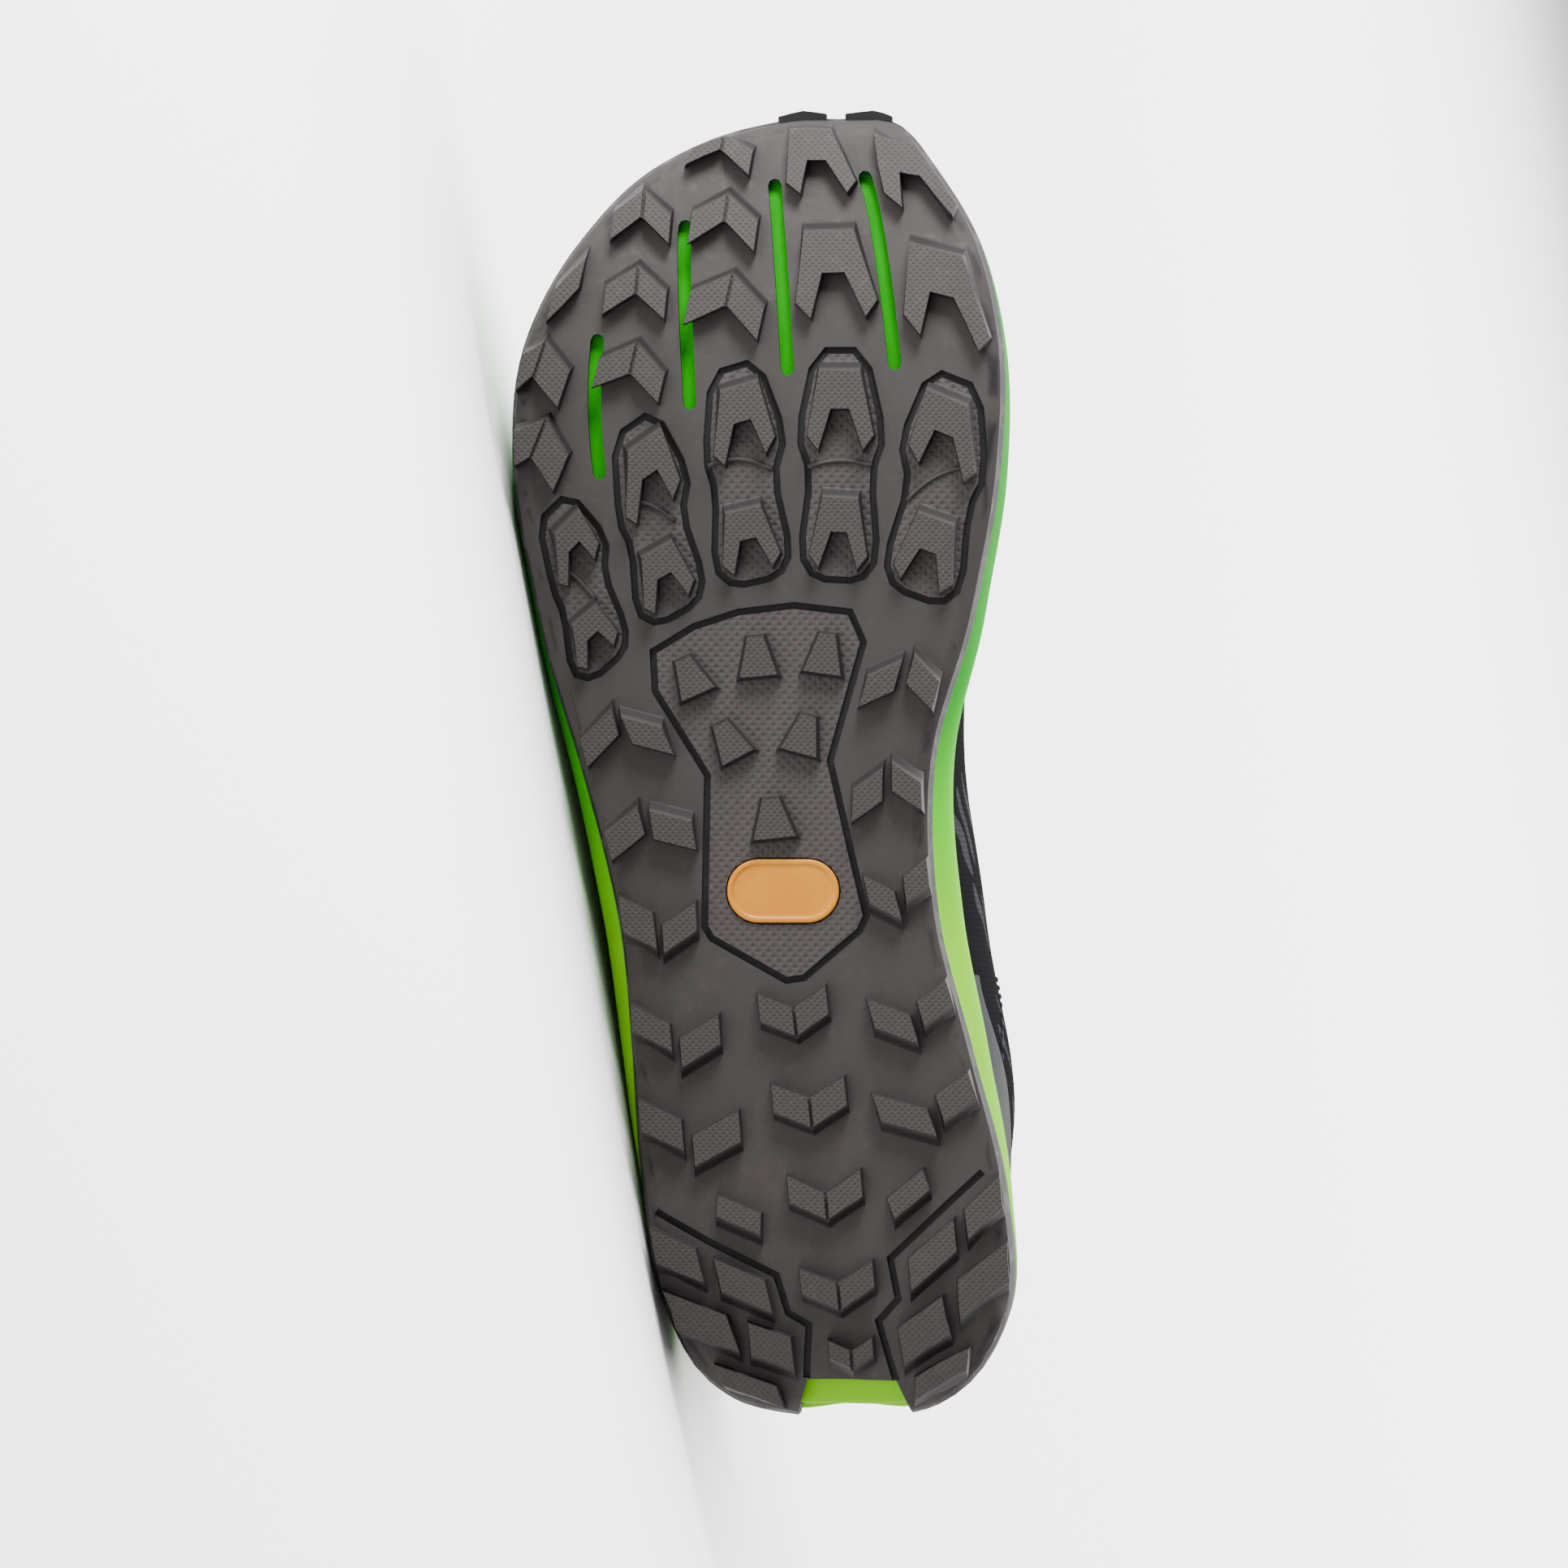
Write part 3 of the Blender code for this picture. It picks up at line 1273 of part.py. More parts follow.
def side_rest(points):
    """Turn and move that lay the standing shoe on its lateral side, as the floor would hold it."""
    shape = bmesh.new()
    for point in points:
        shape.verts.new(point)
    bmesh.ops.convex_hull(shape, input=shape.verts, use_existing_faces=False)
    shape.normal_update()
    middle = Vector((
        MASS_MIDDLE[0] * SOLE_LENGTH, MASS_MIDDLE[1] * BALL_WIDTH, MASS_MIDDLE[2] * INSTEP_HEIGHT,
    ))
    centre = sum(points, Vector()) / len(points)
    best = None
    for face in shape.faces:
        normal = face.normal.copy()
        corners = [vertex.co.copy() for vertex in face.verts]
        if (corners[0] - centre).dot(normal) < 0:
            normal.negate()
        if normal.y > -0.8:
            continue
        foot = middle + normal * (corners[0] - middle).dot(normal)
        signs = [
            (b - a).cross(foot - a).dot(normal) > 0
            for a, b in zip(corners, corners[1:] + corners[:1])
        ]
        inside = all(signs) or not any(signs)
        depth = (corners[0] - middle).dot(normal)
        if inside and (best is None or depth > best[0]):
            best = (depth, normal)
    shape.free()
    down = best[1]
    floor_up = -down
    toe = Vector((1, 0, 0))
    left = -(toe - floor_up * toe.dot(floor_up)).normalized()
    forward = floor_up.cross(left)
    turn = Matrix((left, forward, floor_up))
    turned = [turn @ point for point in points]
    low = [min(point[axis] for point in turned) for axis in range(3)]
    high = [max(point[axis] for point in turned) for axis in range(3)]
    shift = Vector((-(low[0] + high[0]) / 2, -(low[1] + high[1]) / 2, -low[2]))
    return Matrix.Translation(shift) @ turn.to_4x4()


def build():
    clear_scene()
    rubber = material("outsole_rubber", (0.09, 0.08, 0.08), 0.7)
    foam = material("midsole_foam", (0.25, 0.62, 0.03), 0.55)
    orange = material("inlay_rubber", (1.0, 0.42, 0.06), 0.45)
    mesh_cloth = material("upper_mesh", (0.01, 0.01, 0.012), 0.85)
    overlay_film = material("overlay_film", (0.03, 0.035, 0.04), 0.5)
    lining = material("tongue_mesh", (0.015, 0.015, 0.017), 0.85)
    lace_cord = material("lace_cord", (0.02, 0.02, 0.02), 0.8)
    foam_bed = material("insole_foam", (0.05, 0.05, 0.055), 0.9)
    webbing = material("pull_tab_webbing", (0.03, 0.03, 0.03), 0.8)

    slot_cutter = make_outsole(rubber)[1]
    make_inlay(orange)
    make_midsole(foam, slot_cutter)
    make_insole(foam_bed)
    upper = make_upper(mesh_cloth)
    holes = eyelet_holes()
    boolean(upper, holes, "DIFFERENCE")
    toe = columns_between(11.5, LOOP.half)
    overlay("toe_cap", toe, RIM_ROW, BAND_ROW, overlay_film)
    overlay("heel_counter", heel_columns(6.6), RIM_ROW, BAND_ROW, overlay_film)
    for side, name in ((1, "eyestay_medial"), (-1, "eyestay_lateral")):
        overlay(name, columns_between(6.9, 10.2, side), EYE_ROW, TOP_ROW, overlay_film, holes)
    make_tongue(lining)
    make_laces(lace_cord)
    make_pull_tab(webbing)

    rest = bpy.data.objects.new("shoe_on_its_side", None)
    collection("trail_running_shoe").objects.link(rest)
    rest.matrix_world = side_rest(evaluated_points())
    for group in ("trail_running_shoe", "cutters"):
        for item in collection(group).objects:
            if item.type == "MESH":
                item.parent = rest


build()
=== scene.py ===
"""Looks of a right trail running shoe that lies on its lateral side and shows its sole.

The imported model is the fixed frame. Shapes are worked out in the shoe's own axes, as in the part's
source: +X toward the toe, +Y toward the medial side, +Z up from the ground under the lugs.
"""

import json
import math

import bmesh
import bpy
from mathutils import Matrix, Quaternion, Vector
from mathutils.kdtree import KDTree


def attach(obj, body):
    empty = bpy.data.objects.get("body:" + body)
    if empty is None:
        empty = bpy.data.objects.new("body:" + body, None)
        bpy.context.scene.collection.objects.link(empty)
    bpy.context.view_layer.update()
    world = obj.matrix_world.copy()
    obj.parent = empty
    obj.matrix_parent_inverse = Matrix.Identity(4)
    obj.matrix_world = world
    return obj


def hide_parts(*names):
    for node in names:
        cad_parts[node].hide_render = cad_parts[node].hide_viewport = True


bl_info = {
    "name": "Trail Running Shoe Looks",
    "version": (1, 0, 0),
    "blender": (4, 5, 0),
    "location": "3D View > Sidebar > Trail Shoe",
    "description": "Dresses the packed trail shoe with tread, foam, mesh cloth, laces and a studio",
    "category": "Add Mesh",
}

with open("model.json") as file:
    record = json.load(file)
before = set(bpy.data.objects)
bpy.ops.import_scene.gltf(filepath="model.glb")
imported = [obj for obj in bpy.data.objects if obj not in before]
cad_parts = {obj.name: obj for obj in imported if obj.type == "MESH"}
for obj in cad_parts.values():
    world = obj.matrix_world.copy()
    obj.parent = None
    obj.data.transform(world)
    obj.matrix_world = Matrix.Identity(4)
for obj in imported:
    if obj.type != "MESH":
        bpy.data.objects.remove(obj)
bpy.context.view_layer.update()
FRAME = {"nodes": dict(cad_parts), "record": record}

# Sizes of the shoe in metres, shares of its length and section numbers, as in the part's source
SOLE_LENGTH = 0.300
BALL_WIDTH = 0.113
HEEL_WIDTH = 0.084
LUG_HEIGHT = 0.0040
OUTSOLE_THICKNESS = 0.0026
EDGE_ROLL = 0.0045
TOE_SPRING = 0.022
HEEL_RISE = 0.008
FOOTBED_HEIGHT = 0.029
FOOTBED_SPRING = 0.011
RIM_HEIGHT = 0.008
RIM_LEAST = 0.0022
RIM_ROUNDING = 0.0008
INSTEP_HEIGHT = 0.078
UPPER_WALL = 0.0022
COLLAR_PAD = 0.0060
LASTING_MARGIN = 0.009
OVERLAY_ABOVE_RIM = 0.0012
TONGUE_THICKNESS = 0.0040
TONGUE_ABOVE_THROAT = 0.022
TONGUE_NARROWING = 0.34
EYELET_HOLE = 0.0044
PULL_TAB_WIDTH = 0.012
PULL_TAB_HEIGHT = 0.015
PULL_TAB_THICKNESS = 0.0021
PULL_TAB_TAPER = 0.88
PULL_TAB_STEPS = 6
GAP = 0.0003
FLAT_FROM = 0.14
FLAT_TO = 0.70
WIDTH_CHANGES_FROM = 0.25
WIDTH_CHANGES_OVER = 0.35
HEEL_FAN_SECTION = 4.5
TOE_FAN_SECTION = 11.4
PADDED_TO_SECTION = 6.7
PADDING_FADES_OVER = 1.3
SIDE_WIDEST = 0.28
RIM_LEAN = 0.5

# Places of the record's two flat spots in the shoe's own axes
HEEL_FLAT = Vector((0.0702, 0.0037, 0.0))
FOREFOOT_FLAT = Vector((0.2062, 0.01026, 0.0))

# Spacing of the columns of points: the part's own, and the finer one used here
PART_COLUMN_STEP = 0.0135
FINE_COLUMN_STEP = 0.0034
# Fineness of the searches along a column's wall
HALVINGS = 24
EDGE_STEPS = 60

# Sole, a row for each section from heel to toe: hundredths of the length and of the local width,
# then the flare and the wrap in thousandths of the ball width
SOLE_COLUMNS = (
    "along", "lateral", "medial", "flare_lateral", "flare_medial", "wrap_lateral", "wrap_medial",
)
SOLE_SECTIONS = (
    (0.1, 13.0, 13.0, 0, 0, 106, 106),
    (0.35, -5.0, 31.5, 0, 0, 112, 112),
    (1.0, -14.5, 38.6, 0, 0, 115, 115),
    (2.7, -24.0, 47.2, 0, 0, 112, 115),
    (8.3, -35.8, 58.1, 0, 0, 90, 110),
    (16.7, -41.5, 57.7, 4, 5, 12, 60),
    (27.7, -44.4, 48.2, 25, 28, 6, 6),
    (38.3, -43.7, 35.0, 36, 46, 6, 6),
    (50.0, -46.3, 29.7, 24, 33, 6, 6),
    (61.7, -52.6, 36.5, 12, 17, 6, 6),
    (71.7, -57.3, 41.2, 7, 12, 6, 6),
    (81.7, -55.5, 41.8, 3, 4, 6, 6),
    (90.0, -44.1, 36.6, 0, 0, 10, 10),
    (96.0, -27.8, 27.0, 0, 0, 36, 36),
    (98.3, -14.6, 22.2, 0, 0, 60, 60),
    (99.2, -4.4, 18.6, 0, 0, 68, 68),
    (99.4, 7.5, 7.5, 0, 0, 70, 70),
)
# Upper, in hundredths of the local width, of the length (open_along) and of the instep's height
UPPER_COLUMNS = (
    "inset_lateral", "inset_medial", "bulge_lateral", "bulge_medial", "rise",
    "open_along", "open_lateral", "open_medial", "open_height",
    "reach_lateral", "reach_medial", "drop", "band",
)
UPPER_SECTIONS = (
    (9.5, 9.5, 4.0, 4.0, 33, 3.5, 13.0, 13.0, 95, -2, -2, -33, 52),
    (9.5, 9.5, 4.0, 4.0, 33, 3.8, 5.0, 21.5, 95, -2, -2, -33, 52),
    (9.5, 9.5, 4.0, 4.0, 33, 4.3, -2.5, 28.5, 94, -2, -2, -33, 51),
    (9.0, 9.0, 4.0, 4.0, 33, 5.6, -10.0, 37.0, 92, -1, -1, -32, 48),
    (8.5, 8.5, 4.0, 4.5, 31, 9.2, -20.5, 46.0, 86, 2, 2, -28, 42),
    (8.5, 8.5, 7.0, 8.0, 29, 16.7, -30.0, 50.0, 74, 7, 7, -18, 34),
    (9.5, 9.5, 15.0, 19.0, 32, 25.7, -37.0, 48.0, 69, 13, 15, -9, 26),
    (5.5, 5.5, 14.0, 24.0, 36, 35.3, -20.5, 24.5, 100, 28, 24, -15, 22),
    (5.5, 3.0, 10.5, 14.0, 33, 46.7, -16.3, 17.3, 90, 26, 18.5, -10, 20),
    (6.2, 5.3, 7.0, 8.0, 31, 57.5, -14.6, 11.1, 74, 25, 17, -5, 20),
    (6.2, 5.8, 6.0, 6.0, 31, 62.3, -12.4, 6.2, 63, 27, 19.5, -1, 22),
    (6.2, 6.2, 5.0, 4.5, 32, 64.0, -9.7, 3.1, 60, 34, 32, 0, 26),
    (6.6, 6.6, 4.0, 4.0, 33, 64.7, -7.7, 0.9, 59, 40, 38, 0, 32),
    (6.6, 6.6, 3.0, 3.0, 34, 65.0, -6.0, -0.9, 58, 46, 45, 0, 37),
    (6.6, 6.6, 2.6, 2.6, 34.5, 65.2, -5.0, -2.1, 58, 48, 48, 0, 39),
    (6.6, 6.6, 2.6, 2.6, 34.5, 65.3, -4.3, -2.8, 58, 48.5, 48.5, -1, 40),
    (6.6, 6.6, 2.6, 2.6, 34.5, 65.35, -3.5, -3.5, 58, 49, 49, -1, 40),
)

# Sipes: apex of each chevron, its turn and its depth there, as in the part's table
SIPED_CHEVRONS = (
    (98.0, -15.1, 9, 1.2), (93.6, -31.0, 4, 2.0), (93.3, -14.0, 7, 2.0), (87.7, -31.9, 5, 2.0),
    (87.1, -12.7, 12, 2.4), (82.0, -50.4, 18, 2.8), (76.0, -50.2, 22, 3.0), (81.8, -31.9, 13, 2.3),
    (29.2, 0.6, 173, 2.1), (22.3, 4.8, 174, 2.2), (15.3, 9.0, 175, 1.9), (8.4, 12.4, 174, 2.0),
    (3.9, 15.5, 176, 1.3),
)
SIPE_WIDTH = 0.0008
SIPE_DEPTH = 0.0014
SIPE_OVERRUN = 0.0006
SIPE_BLADE_BELOW = 0.002
# Bands across the pods: lateral end, middle and medial end
POD_BANDS = (
    ((64.7, -49.2), (64.2, -44.9), (62.3, -40.4)),
    ((69.6, -34.5), (69.6, -29.7), (68.3, -24.3)),
    ((72.5, -17.6), (73.0, -11.0), (72.2, -4.7)),
    ((72.4, 2.6), (72.9, 9.0), (72.5, 15.4)),
    ((69.9, 22.6), (71.7, 28.6), (72.4, 35.4)),
)
POD_BAND_WIDTH = 0.0011
POD_BAND_HEIGHT = 0.0016
INLAY_LENGTH = 0.0147
INLAY_WIDTH = 0.0258
INLAY_CENTRE = (40.2, -2.9)

# Places where the foot bends the vamp: share of the length, depth and width of each soft trough
CREASES = ((0.665, 0.0009, 0.0042), (0.705, 0.0013, 0.0050), (0.748, 0.0008, 0.0040))
CREASE_LEAN = 0.16
# Heights over the footbed: where the troughs start, and over which they reach their depth
CREASE_FROM = 0.012
CREASE_DEEPENS_OVER = 0.014

# Eyelets and eyestays: places along are shares of the length, and the stays end at section numbers
EYELET_COUNT = 6
EYELET_FIRST_ALONG = 0.372
EYELET_LAST_ALONG = 0.590
EYELET_FROM_EDGE = 0.0065
PUNCH_REACH = 0.005
THROAT_FROM_SECTION = 6
EYESTAY_FROM = 6.9
EYESTAY_NARROWS = 9.3
EYESTAY_END = 10.2
EYESTAY_WIDTH = 0.016
EYESTAY_END_CUT = 0.45

# Overlays: the heel strip's last section, and the toe cap's back edge, bowed back at both sides
HEEL_STRIP_TO = 6.6
OVERLAY_LEAST = 0.04
FILM_THICKNESS = 0.0010
CAP_MIDDLE = 0.256
CAP_SWEEP = 0.014
CAP_AXIS = -0.004
CAP_FROM = 10.5
CAP_LEAST = 0.03

# Laces over the tongue, which is crowned by a share of the throat's width
THROAT_EDGE_REACH = 0.0005
THROAT_CROWN = 0.10
LACE_SHORT_OF_EYELET = 0.014
LACE_END_REACH = 0.0025
LACE_RISE = 0.0026
LACE_SINK = 0.55
LACE_START_DEPTH = 0.0030
LACE_TURN_DEPTH = 0.0008
LACE_ASIDE = 0.0004
LACE_STEPS = 14
# Where two laces cross: shares of the thickness that they lie higher, and the steps that it takes
LACE_OVER = 0.55
LACE_UNDER = -0.10
LACE_CROSS_STEPS = 4.0

# Tongue: its ends along, its edge points out from the throat's edge, and its rows of points
TONGUE_FRONT = 0.652
TONGUE_PAST_EYELETS = 0.008
TONGUE_REACHES = (0.001, 0.007, 0.013)
TONGUE_ROWS = 36
TONGUE_ROW_POWER = 1.6
TONGUE_STEPS = 20
TONGUE_TIP_ROWS = 8
TONGUE_ROUNDING = 0.0013

# Seams: distances from the collar's edge and from the throat's edge, and heights over the surface
COLLAR_SEAMS = (0.0042, 0.0300)
EYESTAY_SEAMS = (0.0018, EYESTAY_WIDTH - 0.0016)
EYESTAY_SEAM_FROM = 6.95
SEAM_ON_CLOTH = 0.0002
SEAM_ON_FILM = 0.0014
STITCH_LENGTH = 0.0022
STITCH_RADIUS = 0.00032
EYELET_RING_RADIUS = 0.0026
EYELET_RING_THICKNESS = 0.0009
EYELET_RING_RISE = 0.0013


def blend(first, second, share):
    return first + (second - first) * share


def ease(share):
    share = min(1.0, max(0.0, share))
    return share * share * (3.0 - 2.0 * share)


def dip(distance, width):
    return math.exp(-((distance / width) ** 2))


def width_at(along):
    return blend(HEEL_WIDTH, BALL_WIDTH, ease((along - WIDTH_CHANGES_FROM) / WIDTH_CHANGES_OVER))


def plan(along, across):
    """Point in plan of a place in hundredths of the length and of the local width."""
    return Vector((along / 100 * SOLE_LENGTH, across / 100 * width_at(along / 100)))


def ground(x):
    share = x / SOLE_LENGTH
    toe = max(0.0, (share - FLAT_TO) / (1 - FLAT_TO))
    heel = max(0.0, (FLAT_FROM - share) / FLAT_FROM)
    return TOE_SPRING * toe ** 2.2 + HEEL_RISE * heel ** 1.8


def footbed(x):
    toe = max(0.0, (x / SOLE_LENGTH - FLAT_TO) / (1 - FLAT_TO))
    return FOOTBED_HEIGHT + FOOTBED_SPRING * toe ** 2


class Loop:
    """Smooth closed curves through the values of the sections, medial side out and lateral back."""

    def __init__(self):
        self.half = len(SOLE_SECTIONS) - 1
        corners = []
        for along, lateral, medial, *_ in SOLE_SECTIONS:
            half_width = (medial - lateral) / 200 * width_at(along / 100)
            corners.append(Vector((along / 100 * SOLE_LENGTH, half_width)))
        self.steps = [(b - a).length for a, b in zip(corners, corners[1:])]

    def step(self, knot):
        knot %= 2 * self.half
        return self.steps[knot] if knot < self.half else self.steps[2 * self.half - 1 - knot]

    def value(self, lateral, medial, place):
        def knot_value(knot):
            knot %= 2 * self.half
            return medial[knot] if knot <= self.half else lateral[2 * self.half - knot]

        def slope(knot):
            before = self.step(knot - 1)
            after = self.step(knot)
            fall_before = (knot_value(knot) - knot_value(knot - 1)) / before
            fall_after = (knot_value(knot + 1) - knot_value(knot)) / after
            return (fall_before * after + fall_after * before) / (before + after)

        knot = math.floor(place)
        f = place - knot
        reach = self.step(knot)
        return (
            (2 * f**3 - 3 * f**2 + 1) * knot_value(knot)
            + (f**3 - 2 * f**2 + f) * reach * slope(knot)
            + (3 * f**2 - 2 * f**3) * knot_value(knot + 1)
            + (f**3 - f**2) * reach * slope(knot + 1)
        )

    def places(self, spacing):
        found = []
        for knot in range(2 * self.half):
            count = max(1, round(self.step(knot) / spacing))
            found += [knot + part / count for part in range(count)]
        return found


LOOP = Loop()


def loop_value(table, names, name, place):
    """Value of a table's column at a place, which is one column, or one for each side."""
    sides = []
    for side in ("lateral", "medial"):
        column = name + "_" + side if name + "_" + side in names else name
        sides.append([row[names.index(column)] for row in table])
    return LOOP.value(sides[0], sides[1], place)


def sole_value(name, place):
    return loop_value(SOLE_SECTIONS, SOLE_COLUMNS, name, place)


def upper_value(name, place):
    return loop_value(UPPER_SECTIONS, UPPER_COLUMNS, name, place)


def outline_point(place):
    lateral = [row[1] for row in SOLE_SECTIONS]
    medial = [row[2] for row in SOLE_SECTIONS]
    return plan(sole_value("along", place), LOOP.value(lateral, medial, place))


def section_of(place):
    return place if place <= LOOP.half else 2 * LOOP.half - place


class Column:
    """One column of points: its outline point, spine point, directions and the wall's curve."""

    def __init__(self, place):
        self.place = place
        self.edge = outline_point(place)
        section = min(TOE_FAN_SECTION, max(HEEL_FAN_SECTION, section_of(place)))
        sides = outline_point(section), outline_point(2 * LOOP.half - section)
        self.spine = (sides[0] + sides[1]) / 2
        self.outward = (self.edge - self.spine).normalized()
        self.flare = sole_value("flare", place) / 1000 * BALL_WIDTH
        self.wrap = sole_value("wrap", place) / 1000 * BALL_WIDTH
        width = width_at(sole_value("along", place) / 100)
        self.feather = self.at(upper_value("inset", place) / 100 * width)
        lateral = [row[UPPER_COLUMNS.index("open_lateral")] for row in UPPER_SECTIONS]
        medial = [row[UPPER_COLUMNS.index("open_medial")] for row in UPPER_SECTIONS]
        opening = plan(upper_value("open_along", place), LOOP.value(lateral, medial, place))
        height = INSTEP_HEIGHT / 100
        low = self.feather.to_3d()
        low.z = footbed(low.x) + GAP
        high = opening.to_3d()
        high.z = footbed(high.x) + upper_value("open_height", place) * height
        out = self.outward.to_3d()
        side = low - high
        side.z = 0
        side = (side + out * 0.02).normalized()
        up = Vector((0, 0, 1))
        bulge = out * upper_value("bulge", place) / 100 * width
        rise = up * upper_value("rise", place) * height
        reach = side * upper_value("reach", place) / 100 * width
        drop = up * upper_value("drop", place) * height
        self.curve = low, low + bulge + rise, high + reach + drop, high
        self.band = upper_value("band", place) * height
        beside_rim = self.wall(self.share_at_height(RIM_HEIGHT)).xy
        room = (self.at(-self.flare) - beside_rim).dot(self.outward)
        self.lean = RIM_LEAN * max(0.0, room - RIM_LEAST)

    def at(self, inward):
        return self.edge - self.outward * inward

    def toward_spine(self, inward, share):
        return self.at(inward).lerp(self.spine, share)

    def wall(self, v):
        a, b, c, d = self.curve
        w = 1 - v
        return a * w**3 + b * 3 * w * w * v + c * 3 * w * v * v + d * v**3

    def last_share(self, low, holds):
        """Share of the wall, from a low one up, where a test of the wall's point stops holding."""
        high = 1.0
        for _ in range(HALVINGS):
            middle = (low + high) / 2
            if holds(self.wall(middle)):
                low = middle
            else:
                high = middle
        return low

    def share_at_height(self, height):
        target = self.curve[0].z + height
        return self.last_share(0.0, lambda point: point.z < target)

    def share_from_edge(self, distance):
        walked = 0.0
        last = self.wall(1.0)
        for index in range(1, EDGE_STEPS + 1):
            point = self.wall(1 - index / EDGE_STEPS)
            step = (point - last).length
            if walked + step >= distance:
                return 1 - (index - 1 + (distance - walked) / step) / EDGE_STEPS
            walked += step
            last = point
        return 0.0


PART_OUTLINE = [Column(place) for place in LOOP.places(PART_COLUMN_STEP)]
COLUMNS = [Column(place) for place in LOOP.places(FINE_COLUMN_STEP)]
COUNT = len(COLUMNS)


def shoe_to_row():
    """Turn and move from the shoe's own axes to the row frame, from the record's flat spots."""
    mounts = {mount["name"]: mount for mount in FRAME["record"]["mounts"]}
    heel = Vector(mounts["heel_tread_flat"]["pos_m"])
    forefoot = Vector(mounts["forefoot_tread_flat"]["pos_m"])
    up = -Vector(mounts["heel_tread_flat"]["axis"]).normalized()
    line = forefoot - heel
    line = (line - up * line.dot(up)).normalized()
    run = FOREFOOT_FLAT - HEEL_FLAT
    toe = Quaternion(up, -math.atan2(run.y, run.x)) @ line
    turn = Matrix((toe, up.cross(toe), up)).transposed()
    return Matrix.Translation(heel - turn @ HEEL_FLAT) @ turn.to_4x4()


ROW = shoe_to_row()


# Materials

def tone(red, green, blue):
    """Linear colour of a screen colour from 0 to 255."""
    def linear(value):
        value /= 255
        return value / 12.92 if value <= 0.04045 else ((value + 0.055) / 1.055) ** 2.4
    return linear(red), linear(green), linear(blue), 1.0


class Nodes:
    """Short calls for the nodes of one tree."""

    def __init__(self, tree):
        self.tree = tree

    def add(self, kind, inputs=None, **settings):
        node = self.tree.nodes.new(kind)
        for name, value in settings.items():
            setattr(node, name, value)
        for name, value in (inputs or {}).items():
            self.feed(node.inputs[name], value)
        return node

    def feed(self, socket, value):
        if isinstance(value, bpy.types.NodeSocket):
            self.tree.links.new(value, socket)
        else:
            socket.default_value = value

    def math(self, operation, first, second=0.0, third=0.0):
        return self.add("ShaderNodeMath", {0: first, 1: second, 2: third}, operation=operation).outputs[0]

    def smooth(self, value, low, high):
        """0 below the low value, 1 above the high one and smooth between."""
        node = self.add("ShaderNodeMapRange", {"Value": value, "From Min": low, "From Max": high})
        node.interpolation_type = "SMOOTHSTEP"
        return node.outputs[0]

    def ramp(self, value, stops):
        node = self.add("ShaderNodeValToRGB", {"Fac": value})
        band = node.color_ramp
        while len(band.elements) < len(stops):
            band.elements.new(0.5)
        for element, (position, colour) in zip(band.elements, stops):
            element.position = position
            element.color = colour
        return node.outputs["Color"]

    def mix(self, share, first, second, mode="MIX"):
        """Mix of two colours, whose sockets are the seventh and the eighth of the node."""
        inputs = {0: share, 6: first, 7: second}
        return self.add("ShaderNodeMix", inputs, data_type="RGBA", blend_type=mode).outputs[2]

    def over(self, base, mask, strength, colour):
        """Base colour with another one over it, as strongly as the mask says."""
        return self.mix(self.math("MULTIPLY", mask, strength), base, colour)

    def attribute(self, name):
        return self.add("ShaderNodeAttribute", attribute_name=name).outputs["Fac"]

    def noise(self, vector, scale, detail=3.0, rough=0.55):
        return self.add("ShaderNodeTexNoise", {
            "Vector": vector, "Scale": scale, "Detail": detail, "Roughness": rough,
        }).outputs[0]

    def cells(self, vector, scale, randomness=1.0, dimensions="3D"):
        return self.add("ShaderNodeTexVoronoi", {
            "Vector": vector, "Scale": scale, "Randomness": randomness,
        }, voronoi_dimensions=dimensions).outputs["Distance"]

    def bump(self, height, distance, strength=1.0):
        return self.add("ShaderNodeBump", {
            "Height": height, "Distance": distance, "Strength": strength,
        }).outputs["Normal"]


def shader_group(name, inputs, outputs):
    """Empty shader group with its named sockets, and its entry and exit nodes."""
    tree = bpy.data.node_groups.new(name, "ShaderNodeTree")
    for label, kind, value in inputs:
        socket = tree.interface.new_socket(label, in_out="INPUT", socket_type=kind)
        socket.default_value = value
    for label, kind in outputs:
        tree.interface.new_socket(label, in_out="OUTPUT", socket_type=kind)
    nodes = Nodes(tree)
    return nodes, nodes.add("NodeGroupInput"), nodes.add("NodeGroupOutput")


def shoe_axes_group():
    """Place of a point in the shoe's own axes, in metres."""
    nodes, _, leave = shader_group("Shoe Axes", (), (
        ("Vector", "NodeSocketVector"), ("Toward Toe", "NodeSocketFloat"),
        ("Toward Medial", "NodeSocketFloat"), ("Above Ground", "NodeSocketFloat"),
    ))
    back = ROW.inverted()
    place = nodes.add("ShaderNodeTexCoord").outputs["Object"]
    moved = nodes.add("ShaderNodeMapping", {
        "Vector": place, "Location": back.to_translation(), "Rotation": back.to_euler("XYZ"),
    }).outputs[0]
    parts = nodes.add("ShaderNodeSeparateXYZ", {0: moved})
    nodes.feed(leave.inputs[0], moved)
    for index in range(3):
        nodes.feed(leave.inputs[index + 1], parts.outputs[index])
    return nodes.tree


